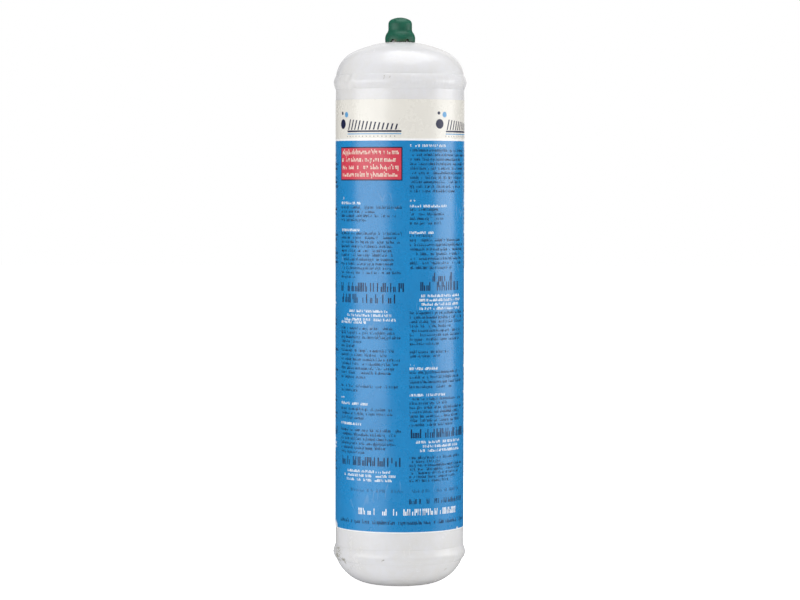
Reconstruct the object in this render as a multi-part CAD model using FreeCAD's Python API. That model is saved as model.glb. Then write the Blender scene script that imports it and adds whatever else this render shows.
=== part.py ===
"""Small welded steel oxygen cylinder: threaded self-closing valve, wrap-round label, push-on cap.

Frame: +Z up, origin in the middle of the standing face, the vessel's axis on Z. Millimetres.
"""

import FreeCAD, Part
import math
import os

# vessel
outer_radius = 35.0
wall = 2.0
inner_radius = outer_radius - wall
crown_top = 295.8            # highest point of the bare top head
crown_radius = 60.5          # dish of the top head, outside
top_knuckle = 16.5           # shoulder radius of the top head, outside
foot_flat_radius = 14.5      # flat standing face
foot_knuckle = 21.4          # corner radius of the bottom head, outside

# seams: each head is joggled inward by one wall and slips into the tube
bottom_seam = 17.5
top_seam = 273.4
seam_half_gap = 0.9          # from the seam's middle to the head's edge on the outside
spigot_length = 8.0
spigot_gap = 0.05
joggle_offset = 0.5          # inner step of a joggle, set back from the outer one
tube_end_gap = 0.35          # from the foot of the joggle to the tube's inner edge
tube_bevel = 0.9
bead_half_width = 3.95
bead_height = 1.3

# label
label_bottom = 31.0
label_top = 263.7
label_thickness = 0.12
label_seam_angle = 110.0     # about Z from +X, on the back
label_overlap = 13.0         # degrees

# neck boss, welded in the top head
neck_hole_radius = 6.45
boss_spigot_radius = 6.4
boss_flange_radius = 9.5
boss_flange_bottom = 289.8
boss_barrel_radius = 7.5
boss_bottom = 280.0
boss_top = 296.5
boss_chamfer = 0.6
boss_bore_radius = 5.03
neck_weld_radius = 7.15
neck_weld_root = 295.0
neck_weld_top = 296.3
neck_weld_toe = 0.12         # height of the weld's outer edge above the head
neck_weld_bevel = 0.25

# valve body
gasket_thickness = 0.4
gasket_outer_radius = 6.2
gasket_inner_radius = 5.05
hex_across_flats = 11.0
hex_height = 1.9
hex_bevel = 0.45
thread_radius = 5.0          # M10x1 outlet, major diameter
relief_radius = 4.35
relief_height = 0.5
relief_slope = 0.2
thread_top = 305.9
thread_chamfer = 0.5
mouth_radius = 3.2
mouth_floor = 302.4
mouth_chamfer = 0.35
throat_radius = 1.5
chamber_radius = 3.2
chamber_top = 297.9
seat_lip_radius = 1.9
seat_lip_bottom = 297.46
valve_bottom = 278.8
retainer_bore_radius = 3.45
retainer_shoulder = 282.5
outlet_seal_bore = 1.7
outlet_seal_thickness = 1.0

# moving core of the valve
pin_radius = 0.9
pin_tip = 305.2
pin_rounding = 0.3
pin_root = 291.5
poppet_bottom = 290.0
poppet_guide_radius = 3.14
poppet_guide_top = 294.5
poppet_flat_distance = 2.6   # axis to each of the three gas flats
poppet_neck_radius = 2.75
poppet_rim = 296.9
cup_radius = 2.3
cup_floor = 295.4
spring_boss_radius = 1.7
spring_boss_length = 2.0
seal_radius = 2.28
seal_top = 297.44
spring_mean_radius = 2.3
spring_wire_radius = 0.25
spring_turns = 6

# inlet end
retainer_thickness = 1.6
retainer_hole_radius = 0.6
retainer_hole_circle = 2.1
retainer_hole_count = 6
filter_thickness = 1.0
clip_thickness = 0.6
clip_inner_radius = 2.6
clip_gap_width = 1.6

# protective cap
cap_bottom = 295.5
cap_top = 308.9
cap_skirt_radius = 8.2
cap_skirt_top = 297.4
cap_barrel_radius = 6.45
cap_flare_angle = 38.0       # steepest lean of the flare from the axis
cap_flare_convex = 5.2       # radius of the flare's lower, outward curve
cap_shoulder_radius = 2.9
cap_crown_radius = 11.0
cap_wall = 0.8
cap_notches = 6
cap_notch_width = 1.9
cap_notch_height = 1.35
cap_rib_width = 1.2
cap_rib_bottom = 296.9
cap_rib_top = 300.2
cap_rib_radius = 6.45        # free radius inside the ribs, just over the hexagon's corners

small_gap = 0.02             # between pieces that touch
reach = 1.0                  # a cutting shape goes this far past what it cuts

Z = FreeCAD.Vector(0, 0, 1)
ORIGIN = FreeCAD.Vector(0, 0, 0)


def arc(centre_r, centre_z, radius, start, end):
    """Three points of an arc in the turning plane, with angles in degrees from +r towards +z."""
    angles = [math.radians(a) for a in (start, (start + end) / 2, end)]
    return [(centre_r + radius * math.cos(a), centre_z + radius * math.sin(a)) for a in angles]


def turned(*steps):
    """Solid of revolution about Z. Each step is a point (r, z) or the three points of an arc."""
    edges = []
    at = None
    for step in steps + (steps[0],):
        points = step if isinstance(step, list) else [step]
        points = [FreeCAD.Vector(r, 0, z) for r, z in points]
        if at is not None and at.distanceToPoint(points[0]) > 1e-6:
            edges.append(Part.LineSegment(at, points[0]).toShape())
        if at is not None and step is steps[0] and len(edges) > 1:
            break
        if len(points) == 3:
            edges.append(Part.Arc(*points).toShape())
        at = points[-1]
    return Part.Face(Part.Wire(edges)).revolve(ORIGIN, Z, 360)


def ring(outer, inner, low, high):
    """Plain washer or tube about Z."""
    return turned((inner, low), (outer, low), (outer, high), (inner, high))


def disc(radius, low, high):
    return Part.makeCylinder(radius, high - low, FreeCAD.Vector(0, 0, low))


def sphere_height(centre_z, radius, r):
    """Height of a sphere's upper surface at distance r from the axis."""
    return centre_z + math.sqrt(radius ** 2 - r ** 2)


def around(shape, angle):
    turned_copy = shape.copy()
    turned_copy.rotate(ORIGIN, Z, angle)
    return turned_copy


# ---- vessel ----

crown_centre = crown_top - crown_radius
knuckle_r = outer_radius - top_knuckle
knuckle_z = crown_centre + math.sqrt((crown_radius - top_knuckle) ** 2 - knuckle_r ** 2)
knuckle_angle = math.degrees(math.atan2(knuckle_z - crown_centre, knuckle_r))


def head_seam(seam, up):
    """Joggled edge, from the outside wall to the inside wall. up is +1 where the tube is above."""
    spigot_radius = inner_radius - spigot_gap
    edge = seam - up * seam_half_gap
    joggle = outer_radius - spigot_radius
    end = seam + up * spigot_length
    return [
        (outer_radius, edge),
        (spigot_radius, edge + up * joggle),
        (spigot_radius, end),
        (spigot_radius - wall, end),
        (spigot_radius - wall, edge + up * (joggle - joggle_offset)),
        (inner_radius, edge - up * joggle_offset),
    ]


def make_body_tube():
    foot = bottom_seam - seam_half_gap + wall + tube_end_gap
    head = top_seam + seam_half_gap - wall - tube_end_gap
    return turned(
        (inner_radius, foot), (outer_radius, foot + tube_bevel),
        (outer_radius, head - tube_bevel), (inner_radius, head),
    )


def make_top_head():
    hole_angle = math.degrees(math.acos(neck_hole_radius / crown_radius))
    inner_hole_angle = math.degrees(math.acos(neck_hole_radius / (crown_radius - wall)))
    return turned(
        arc(0, crown_centre, crown_radius, hole_angle, knuckle_angle),
        arc(knuckle_r, knuckle_z, top_knuckle, knuckle_angle, 0),
        *head_seam(top_seam, -1),
        arc(knuckle_r, knuckle_z, top_knuckle - wall, 0, knuckle_angle),
        arc(0, crown_centre, crown_radius - wall, knuckle_angle, inner_hole_angle),
    )


def foot_arc(radius, wall_radius):
    """Knuckle of the bottom head, from the wall radius down to the flat."""
    start = -math.degrees(math.acos((wall_radius - foot_flat_radius) / radius))
    return arc(foot_flat_radius, foot_knuckle, radius, start, -90)


def make_bottom_head():
    outside = foot_arc(foot_knuckle, outer_radius)
    inside = foot_arc(foot_knuckle - wall, inner_radius)
    return turned(
        (0, 0), outside[::-1], *head_seam(bottom_seam, 1), inside, (0, wall),
    )


def make_bead(seam, lower_toe_radius, upper_toe_radius, neighbours):
    """Weld metal: fills the groove between head and tube and crowns over both."""
    low, high = seam - bead_half_width, seam + bead_half_width
    crest = (outer_radius + bead_height, seam)
    metal = turned(
        (inner_radius, low),
        [(lower_toe_radius, low), crest, (upper_toe_radius, high)],
        (inner_radius, high),
    )
    for neighbour in neighbours:
        metal = metal.cut(neighbour)
    return metal


def make_bottom_bead(tube, head):
    drop = foot_knuckle - (bottom_seam - bead_half_width)
    toe = foot_flat_radius + math.sqrt(foot_knuckle ** 2 - drop ** 2)
    return make_bead(bottom_seam, toe, outer_radius, (tube, head))


def make_top_bead(tube, head):
    rise = top_seam + bead_half_width - knuckle_z
    toe = knuckle_r + math.sqrt(top_knuckle ** 2 - rise ** 2)
    return make_bead(top_seam, outer_radius, toe, (tube, head))


def make_label():
    """One turn of film with a short second layer where its end laps over its start."""
    under = ring(outer_radius + label_thickness, outer_radius, label_bottom, label_top)
    lap = Part.makeCylinder(
        outer_radius + 2 * label_thickness, label_top - label_bottom,
        FreeCAD.Vector(0, 0, label_bottom), Z, label_overlap,
    )
    core = disc(outer_radius + label_thickness / 2, label_bottom - reach, label_top + reach)
    lap = around(lap, label_seam_angle).cut(core)
    return under.fuse(lap)


# ---- neck ----

def make_neck_boss():
    seat_radius = crown_radius - wall - small_gap
    flange_angle = math.degrees(math.acos(boss_flange_radius / seat_radius))
    spigot_angle = math.degrees(math.acos(boss_spigot_radius / seat_radius))
    return turned(
        (boss_bore_radius, boss_bottom), (boss_barrel_radius - boss_chamfer, boss_bottom),
        (boss_barrel_radius, boss_bottom + boss_chamfer), (boss_barrel_radius, boss_flange_bottom),
        (boss_flange_radius, boss_flange_bottom),
        arc(0, crown_centre, seat_radius, flange_angle, spigot_angle),
        (boss_spigot_radius, boss_top), (boss_bore_radius, boss_top),
    )


def make_neck_weld(head):
    toe = sphere_height(crown_centre, crown_radius, neck_weld_radius) + neck_weld_toe
    metal = turned(
        (boss_spigot_radius, neck_weld_root), (neck_weld_radius, neck_weld_root),
        (neck_weld_radius, toe),
        (boss_spigot_radius + neck_weld_bevel, neck_weld_top - neck_weld_bevel),
        (boss_spigot_radius, neck_weld_top),
    )
    return metal.cut(head)


gasket_top = boss_top + gasket_thickness
hex_top = gasket_top + hex_height
thread_start = hex_top + relief_height
valve_top = thread_top + thread_chamfer


def make_gasket():
    return ring(gasket_outer_radius, gasket_inner_radius, boss_top, gasket_top)


def make_hexagon():
    corner = hex_across_flats / math.sqrt(3)
    points = []
    for i in range(7):
        angle = math.radians(30 + 60 * i)
        points.append(FreeCAD.Vector(corner * math.cos(angle), corner * math.sin(angle), gasket_top))
    block = Part.Face(Part.makePolygon(points)).extrude(Z * hex_height)
    flat = hex_across_flats / 2
    bevel = turned(
        (0, gasket_top), (corner, gasket_top), (corner, hex_top - hex_bevel),
        (flat, hex_top), (0, hex_top),
    )
    return block.common(bevel)


def make_valve_body():
    shank = disc(thread_radius, valve_bottom, gasket_top)
    stub = turned(
        (0, hex_top), (relief_radius, hex_top), (relief_radius, thread_start - relief_slope),
        (thread_radius, thread_start), (thread_radius, thread_top),
        (thread_radius - thread_chamfer, valve_top), (0, valve_top),
    )
    bore = turned(
        (0, valve_bottom - reach), (retainer_bore_radius, valve_bottom - reach),
        (retainer_bore_radius, retainer_shoulder), (chamber_radius, retainer_shoulder),
        (chamber_radius, chamber_top), (seat_lip_radius, chamber_top),
        (seat_lip_radius, seat_lip_bottom), (throat_radius, seat_lip_bottom),
        (throat_radius, mouth_floor), (mouth_radius, mouth_floor),
        (mouth_radius, valve_top - mouth_chamfer), (mouth_radius + mouth_chamfer, valve_top),
        (mouth_radius + mouth_chamfer, valve_top + reach), (0, valve_top + reach),
    )
    return shank.fuse(make_hexagon()).fuse(stub).cut(bore).removeSplitter()


def make_outlet_seal():
    return ring(
        mouth_radius - small_gap, outlet_seal_bore, mouth_floor, mouth_floor + outlet_seal_thickness,
    )


# ---- moving core of the valve ----

def make_pin():
    return turned(
        (0, pin_root), (pin_radius, pin_root), (pin_radius, pin_tip - pin_rounding),
        arc(pin_radius - pin_rounding, pin_tip - pin_rounding, pin_rounding, 0, 90), (0, pin_tip),
    )


def make_poppet():
    guide = disc(poppet_guide_radius, poppet_bottom, poppet_guide_top)
    for i in range(3):
        block = Part.makeBox(
            poppet_guide_radius, 4 * poppet_guide_radius, poppet_guide_top - poppet_bottom,
            FreeCAD.Vector(poppet_flat_distance, -2 * poppet_guide_radius, poppet_bottom),
        )
        guide = guide.cut(around(block, 120 * i))
    neck = disc(poppet_neck_radius, poppet_guide_top, poppet_rim)
    boss = disc(spring_boss_radius, poppet_bottom - spring_boss_length, poppet_bottom)
    cup = disc(cup_radius, cup_floor, poppet_rim + reach)
    pin_hole = disc(pin_radius, pin_root, cup_floor + reach)
    return guide.fuse(neck).fuse(boss).cut(cup).cut(pin_hole).removeSplitter()


def make_poppet_seal():
    return ring(seal_radius, pin_radius + small_gap, cup_floor, seal_top)


def make_spring():
    low = retainer_shoulder + spring_wire_radius + small_gap
    high = poppet_bottom - spring_wire_radius - small_gap
    pitch = (high - low) / spring_turns
    helix = Part.makeHelix(pitch, high - low, spring_mean_radius)
    helix.translate(Z * low)
    start = FreeCAD.Vector(spring_mean_radius, 0, low)
    along = FreeCAD.Vector(0, 2 * math.pi * spring_mean_radius, pitch)
    section = Part.Wire(Part.makeCircle(spring_wire_radius, start, along))
    return Part.Solid(Part.Wire(helix).makePipeShell([section], True, True))


# ---- inlet end ----

filter_top = retainer_shoulder - retainer_thickness
filter_bottom = filter_top - filter_thickness


def make_retainer():
    plug = disc(retainer_bore_radius - small_gap, filter_top, retainer_shoulder)
    for i in range(retainer_hole_count):
        hole = disc(retainer_hole_radius, filter_top - reach, retainer_shoulder + reach)
        hole.translate(FreeCAD.Vector(retainer_hole_circle, 0, 0))
        plug = plug.cut(around(hole, 360 / retainer_hole_count * i))
    return plug


def make_filter():
    return disc(retainer_bore_radius - 2 * small_gap, filter_bottom, filter_top)


def make_clip():
    clip = ring(
        retainer_bore_radius - small_gap, clip_inner_radius, filter_bottom - clip_thickness, filter_bottom,
    )
    gap = Part.makeBox(
        clip_gap_width, 2 * retainer_bore_radius, 2 * clip_thickness,
        FreeCAD.Vector(-clip_gap_width / 2, 0, filter_bottom - 1.5 * clip_thickness),
    )
    return clip.cut(gap)


# ---- protective cap ----

def cap_solid(inset, foot):
    """The cap's whole outline filled in, moved inward by inset, down to the height foot."""
    lean = cap_flare_angle
    drop = 1 - math.cos(math.radians(lean))
    concave = (cap_skirt_radius - cap_barrel_radius) / drop - cap_flare_convex
    rise = math.sin(math.radians(lean))
    barrel_start = cap_skirt_top + (cap_flare_convex + concave) * rise
    shoulder_r = cap_barrel_radius - cap_shoulder_radius
    crown_z = cap_top - cap_crown_radius
    shoulder_z = crown_z + math.sqrt((cap_crown_radius - cap_shoulder_radius) ** 2 - shoulder_r ** 2)
    meet = math.degrees(math.atan2(shoulder_z - crown_z, shoulder_r))
    return turned(
        (0, foot), (cap_skirt_radius - inset, foot),
        arc(cap_skirt_radius - cap_flare_convex, cap_skirt_top, cap_flare_convex - inset, 0, lean),
        arc(cap_barrel_radius + concave, barrel_start, concave + inset, 180 + lean, 180),
        arc(shoulder_r, shoulder_z, cap_shoulder_radius - inset, 0, meet),
        arc(0, crown_z, cap_crown_radius - inset, meet, 90),
    )


def make_cap():
    outer = cap_solid(0, cap_bottom)
    cap = outer.cut(cap_solid(cap_wall, cap_bottom - reach))
    rib_room = disc(cap_rib_radius, cap_rib_bottom - reach, cap_rib_top + reach)
    for i in range(cap_notches):
        rib = Part.makeBox(
            cap_skirt_radius, cap_rib_width, cap_rib_top - cap_rib_bottom,
            FreeCAD.Vector(0, -cap_rib_width / 2, cap_rib_bottom),
        )
        rib = around(rib, 360 / cap_notches * (i + 0.5)).cut(rib_room).common(outer)
        cap = cap.fuse(rib)
    half = cap_notch_width / 2
    notch_start = cap_skirt_radius - cap_wall - reach
    notch_depth = cap_wall + 2 * reach
    notch = Part.makeBox(
        notch_depth, cap_notch_width, cap_notch_height - half + reach,
        FreeCAD.Vector(notch_start, -half, cap_bottom - reach),
    )
    notch_crown = Part.makeCylinder(
        half, notch_depth,
        FreeCAD.Vector(notch_start, 0, cap_bottom + cap_notch_height - half), FreeCAD.Vector(1, 0, 0),
    )
    notch = notch.fuse(notch_crown)
    for i in range(cap_notches):
        cap = cap.cut(around(notch, 360 / cap_notches * i))
    return cap


def water_volume():
    """Space inside the vessel in litres, with the neck fittings taken out."""
    inside = turned(
        (0, wall), foot_arc(foot_knuckle - wall, inner_radius)[::-1],
        arc(knuckle_r, knuckle_z, top_knuckle - wall, 0, knuckle_angle),
        arc(0, crown_centre, crown_radius - wall, knuckle_angle, 90),
    )
    return inside.cut(disc(boss_barrel_radius, boss_bottom, crown_top)).Volume / 1e6


def main():
    os.makedirs("parts", exist_ok=True)
    tube = make_body_tube()
    top_head = make_top_head()
    bottom_head = make_bottom_head()
    nodes = {
        "body_tube": tube,
        "top_head": top_head,
        "bottom_head": bottom_head,
        "top_weld_bead": make_top_bead(tube, top_head),
        "bottom_weld_bead": make_bottom_bead(tube, bottom_head),
        "label_film": make_label(),
        "neck_boss": make_neck_boss(),
        "neck_weld": make_neck_weld(top_head),
        "boss_gasket": make_gasket(),
        "valve_body": make_valve_body(),
        "outlet_seal": make_outlet_seal(),
        "valve_pin": make_pin(),
        "poppet": make_poppet(),
        "poppet_seal": make_poppet_seal(),
        "valve_spring": make_spring(),
        "spring_retainer": make_retainer(),
        "inlet_filter": make_filter(),
        "filter_clip": make_clip(),
        "protective_cap": make_cap(),
    }
    for node, shape in nodes.items():
        print(f"{node}: valid {shape.isValid()}, solids {len(shape.Solids)}, {shape.Volume:.1f} mm3")
        shape.exportStep(f"parts/{node}.step")
    print(f"water volume {water_volume():.3f} l")


main()
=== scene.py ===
import math
import random

import bmesh
import bpy
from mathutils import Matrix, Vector


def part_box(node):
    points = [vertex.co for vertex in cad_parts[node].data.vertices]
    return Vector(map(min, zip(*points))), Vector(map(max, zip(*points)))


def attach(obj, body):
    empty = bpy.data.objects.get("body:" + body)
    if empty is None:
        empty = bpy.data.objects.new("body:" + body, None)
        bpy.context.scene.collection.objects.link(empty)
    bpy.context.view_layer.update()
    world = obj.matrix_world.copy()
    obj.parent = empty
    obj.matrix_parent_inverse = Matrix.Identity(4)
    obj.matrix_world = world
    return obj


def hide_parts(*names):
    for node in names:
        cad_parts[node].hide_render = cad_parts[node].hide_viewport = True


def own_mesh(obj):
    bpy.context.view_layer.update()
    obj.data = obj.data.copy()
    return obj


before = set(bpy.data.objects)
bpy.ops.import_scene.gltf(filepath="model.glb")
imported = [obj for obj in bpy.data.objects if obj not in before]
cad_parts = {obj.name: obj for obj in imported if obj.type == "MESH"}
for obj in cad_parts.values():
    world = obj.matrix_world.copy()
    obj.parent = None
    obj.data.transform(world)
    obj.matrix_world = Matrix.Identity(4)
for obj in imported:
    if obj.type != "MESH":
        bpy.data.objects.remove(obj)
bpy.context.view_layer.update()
print("frame loaded:", len(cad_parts), "nodes")

mm = 0.001
wholeTurn = 2 * math.pi
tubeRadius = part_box("body_tube")[1].x


# small helpers

def onTube(angle, height, lift=0.0):
    # point on the tube's wall: angle in degrees to the right of the front, height in mm
    turn = math.radians(angle)
    radius = tubeRadius + lift * mm
    return Vector((radius * math.sin(turn), -radius * math.cos(turn), height * mm))


def fromScreen(red, green, blue):
    # 0-255 screen colour to the linear colour that sockets take
    linear = []
    for part in (red, green, blue):
        part = part / 255
        linear.append(part / 12.92 if part <= 0.04045 else ((part + 0.055) / 1.055) ** 2.4)
    return (*linear, 1.0)


def addNode(tree, kind, sockets=None, **settings):
    node = tree.nodes.new(kind)
    for name, value in settings.items():
        setattr(node, name, value)
    for socket, value in (sockets or {}).items():
        if isinstance(value, bpy.types.NodeSocket):
            tree.links.new(value, node.inputs[socket])
        else:
            node.inputs[socket].default_value = value
    return node


def calculator(tree):
    # maths nodes as calls: do("ADD", a, b) gives the result's socket, and longer sums are chained
    def do(operation, *values):
        if operation in ("ADD", "MULTIPLY", "MAXIMUM") and len(values) > 2:
            values = (do(operation, *values[:-1]), values[-1])
        return addNode(tree, "ShaderNodeMath", dict(enumerate(values)), operation=operation).outputs[0]
    return do


def mixColours(tree, factor, first, second):
    return addNode(tree, "ShaderNodeMix", {0: factor, 6: first, 7: second}, data_type="RGBA").outputs[2]


def noise(tree, vector, scale, detail, **more):
    sockets = {"Vector": vector, "Scale": scale, "Detail": detail, **more}
    return addNode(tree, "ShaderNodeTexNoise", sockets).outputs[0]


def splitVector(tree, vector):
    return addNode(tree, "ShaderNodeSeparateXYZ", {"Vector": vector}).outputs


def joinVector(tree, x, y, z):
    return addNode(tree, "ShaderNodeCombineXYZ", {"X": x, "Y": y, "Z": z}).outputs[0]


def spread(tree, value, low, high, newLow=0.0, newHigh=1.0):
    # clamped straight-line change of range
    node = addNode(
        tree, "ShaderNodeMapRange",
        {"Value": value, "From Min": low, "From Max": high, "To Min": newLow, "To Max": newHigh},
    )
    return node.outputs["Result"]


# camera

cameraPlace = {
    "aside": 0.00005, "distance": 1.601, "height": 0.2197,    # metres
    "tilt": 2.315, "roll": -0.1,                              # degrees
    "lens": 131.9, "sensor": 36.0,                            # millimetres
}


def makeCamera():
    lens = bpy.data.cameras.new("camera")
    lens.sensor_width = cameraPlace["sensor"]
    lens.lens = cameraPlace["lens"]
    lens.clip_start = 0.01
    camera = bpy.data.objects.new("camera", lens)
    camera.location = (cameraPlace["aside"], -cameraPlace["distance"], cameraPlace["height"])
    camera.rotation_euler = (math.radians(90 - cameraPlace["tilt"]), math.radians(cameraPlace["roll"]), 0)
    bpy.context.scene.collection.objects.link(camera)
    bpy.context.scene.camera = camera


makeCamera()
print("camera placed")


# studio: white surroundings, tall soft lights at the sides, one overhead

studio = {
    "surroundings": 0.42,
    "reflected": 0.07,
    "floorColour": (0.86, 0.86, 0.86, 1.0),
    "floorGlow": 0.78,
    "floorBounce": 0.22,
    "floorHalf": 6.0,
    "floorDrop": 0.00005,
    "aim": (0.0, 0.0, 0.16),
    "lights": {
        # angle round from the front, centre's height, distance, width, height, watts, gloss-only watts
        "leftSoftbox": (-53, 0.25, 1.25, 1.52, 0.69, 7.2, 6.0),
        "rightSoftbox": (89, 0.28, 1.25, 1.00, 0.63, 5.4, 3.0),
        "backSoftbox": (178, 0.75, 1.60, 1.20, 1.20, 3.0, 0.0),
    },
    "overhead": (0.16, -0.06, 1.35, 1.3, 1.05, 12.3),    # x, y, z, width, depth, watts
}


def makeLight(name, place, target, width, height, watts):
    lamp = bpy.data.lights.new(name, "AREA")
    lamp.shape = "RECTANGLE"
    lamp.size = width
    lamp.size_y = height
    lamp.energy = watts
    light = bpy.data.objects.new(name, lamp)
    light.location = place
    light.rotation_euler = (Vector(target) - Vector(place)).to_track_quat("-Z", "Y").to_euler()
    light.visible_camera = False
    bpy.context.scene.collection.objects.link(light)
    return light


def makeLights():
    for name, (angle, height, distance, width, tall, watts, sheen) in studio["lights"].items():
        turn = math.radians(angle)
        place = (distance * math.sin(turn), -distance * math.cos(turn), height)
        makeLight(name, place, (0, 0, height), width, tall, watts)
        if sheen > 0:
            makeLight(name + "Sheen", place, (0, 0, height), width, tall, sheen).visible_diffuse = False
    x, y, z, width, depth, watts = studio["overhead"]
    makeLight("overheadSoftbox", (x, y, z), studio["aim"], width, depth, watts)


def makeSurroundings():
    # white to the camera, dimmer as a light, darkest in reflections
    world = bpy.data.worlds.new("surroundings")
    world.use_nodes = True
    bpy.context.scene.world = world
    tree = world.node_tree
    tree.nodes.clear()
    seen = addNode(tree, "ShaderNodeLightPath")
    dim = spread(tree, seen.outputs["Is Glossy Ray"], 0, 1, studio["surroundings"], studio["reflected"])
    strength = calculator(tree)("MAXIMUM", dim, seen.outputs["Is Camera Ray"])
    glow = addNode(tree, "ShaderNodeBackground", {"Color": (1, 1, 1, 1), "Strength": strength})
    addNode(tree, "ShaderNodeOutputWorld", {"Surface": glow.outputs[0]})
    bpy.context.scene.view_settings.view_transform = "Standard"


def makeFloor():
    half, drop = studio["floorHalf"], studio["floorDrop"]
    mesh = bpy.data.meshes.new("studioFloor")
    corners = [(-half, -half, -drop), (half, -half, -drop), (half, half, -drop), (-half, half, -drop)]
    mesh.from_pydata(corners, [], [(0, 1, 2, 3)])
    floor = bpy.data.objects.new("studioFloor", mesh)
    floor.visible_glossy = False
    bpy.context.scene.collection.objects.link(floor)
    paper = bpy.data.materials.new("studioPaper")
    paper.use_nodes = True
    tree = paper.node_tree
    tree.nodes.clear()
    seen = addNode(tree, "ShaderNodeLightPath")
    matte = addNode(tree, "ShaderNodeBsdfDiffuse", {"Color": studio["floorColour"]})
    strength = spread(tree, seen.outputs["Is Camera Ray"], 0, 1, studio["floorBounce"], studio["floorGlow"])
    glow = addNode(tree, "ShaderNodeEmission", {"Color": (1, 1, 1, 1), "Strength": strength})
    both = addNode(tree, "ShaderNodeAddShader", {0: matte.outputs[0], 1: glow.outputs[0]})
    addNode(tree, "ShaderNodeOutputMaterial", {"Surface": both.outputs[0]})
    mesh.materials.append(paper)


makeLights()
makeSurroundings()
makeFloor()
print("studio lit")


# shader groups shared by several finishes

def newShaderGroup(name, inputs, outputs):
    group = bpy.data.node_groups.new(name, "ShaderNodeTree")
    for label, (kind, value) in inputs.items():
        socket = group.interface.new_socket(label, in_out="INPUT", socket_type="NodeSocket" + kind)
        if value is not None:
            socket.default_value = value
    for label, kind in outputs.items():
        group.interface.new_socket(label, in_out="OUTPUT", socket_type="NodeSocket" + kind)
    given = group.nodes.new("NodeGroupInput").outputs
    result = group.nodes.new("NodeGroupOutput").inputs
    return group, given, result


def placeGroup(tree, group, sockets):
    node = tree.nodes.new("ShaderNodeGroup")
    node.node_tree = group
    for name, value in sockets.items():
        if isinstance(value, bpy.types.NodeSocket):
            tree.links.new(value, node.inputs[name])
        else:
            node.inputs[name].default_value = value
    return node.outputs


def makePaintSkin():
    # height of sprayed enamel: slow sagging with a fine orange peel over it
    group, given, result = newShaderGroup(
        "paintSkin",
        {"Vector": ("Vector", None), "Sag Size": ("Float", 110.0), "Sag": ("Float", 0.7),
         "Peel Size": ("Float", 900.0), "Peel": ("Float", 0.12)},
        {"Height": "Float"},
    )
    do = calculator(group)
    sag = noise(group, given["Vector"], given["Sag Size"], 1.5)
    peel = noise(group, given["Vector"], given["Peel Size"], 2.0)
    height = do("ADD", do("MULTIPLY", sag, given["Sag"]), do("MULTIPLY", peel, given["Peel"]))
    group.links.new(height, result["Height"])
    return group


def makeScratches():
    # thin broken lines, stretched along one direction of the vector that is given
    group, given, result = newShaderGroup(
        "scratches",
        {"Vector": ("Vector", None), "Size": ("Float", 60.0), "Stretch": ("Float", 9.0),
         "Width": ("Float", 0.012), "Sparse": ("Float", 0.58)},
        {"Mask": "Float"},
    )
    do = calculator(group)
    split = splitVector(group, given["Vector"])
    thin = joinVector(group, split["X"], split["Y"], do("MULTIPLY", split["Z"], given["Stretch"]))
    gap = do("ABSOLUTE", do("SUBTRACT", noise(group, thin, given["Size"], 3.0), 0.5))
    line = spread(group, gap, 0.0, given["Width"], 1.0, 0.0)
    where = noise(group, given["Vector"], given["Size"], 1.0)
    sparse = spread(group, do("SUBTRACT", where, given["Sparse"]), 0.0, 0.08)
    group.links.new(do("MULTIPLY", line, sparse), result["Mask"])
    return group


def makeChips():
    # ragged marks that thin out with distance from one place
    group, given, result = newShaderGroup(
        "chips",
        {"Vector": ("Vector", None), "Centre": ("Vector", (0, 0, 0)), "Reach": ("Float", 0.01),
         "Size": ("Float", 700.0), "Amount": ("Float", 0.5)},
        {"Mask": "Float"},
    )
    do = calculator(group)
    away = addNode(
        group, "ShaderNodeVectorMath", {0: given["Vector"], 1: given["Centre"]}, operation="DISTANCE",
    ).outputs["Value"]
    near = do("MAXIMUM", do("SUBTRACT", 1.0, do("DIVIDE", away, given["Reach"])), 0.0)
    ragged = noise(group, given["Vector"], given["Size"], 5.0, Roughness=0.62)
    level = do("ADD", ragged, do("MULTIPLY", near, given["Amount"]))
    marks = spread(group, level, 0.78, 0.86)
    group.links.new(do("MULTIPLY", marks, spread(group, near, 0.0, 0.15)), result["Mask"])
    return group


def makeGrime():
    # soft uneven film of dust and handling, in large and small patches
    group, given, result = newShaderGroup(
        "grime",
        {"Vector": ("Vector", None), "Size": ("Float", 45.0), "Low": ("Float", 0.48),
         "High": ("Float", 0.75)},
        {"Mask": "Float"},
    )
    do = calculator(group)
    big = noise(group, given["Vector"], given["Size"], 3.0)
    fine = noise(group, given["Vector"], do("MULTIPLY", given["Size"], 9.0), 3.0)
    both = do("MULTIPLY_ADD", fine, 0.35, do("MULTIPLY", big, 0.65))
    group.links.new(spread(group, both, given["Low"], given["High"]), result["Mask"])
    return group


def makePrintGrain():
    # ink laid on film: faint mottling of the colour and a fine grain of dots
    group, given, result = newShaderGroup(
        "printGrain",
        {"Vector": ("Vector", None), "Colour": ("Color", (1, 1, 1, 1)), "Mottle": ("Float", 0.06),
         "Grain": ("Float", 0.05)},
        {"Colour": "Color", "Height": "Float"},
    )
    do = calculator(group)
    cloud = noise(group, given["Vector"], 55.0, 3.0)
    dots = addNode(group, "ShaderNodeTexVoronoi", {"Vector": given["Vector"], "Scale": 4200.0})
    change = do("MULTIPLY", do("SUBTRACT", cloud, 0.5), given["Mottle"])
    grain = do("MULTIPLY", do("SUBTRACT", dots.outputs["Distance"], 0.4), given["Grain"])
    bright = do("ADD", 1.0, do("ADD", change, grain))
    toned = addNode(group, "ShaderNodeHueSaturation", {"Value": bright, "Color": given["Colour"]})
    group.links.new(toned.outputs[0], result["Colour"])
    group.links.new(dots.outputs["Distance"], result["Height"])
    return group


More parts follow.
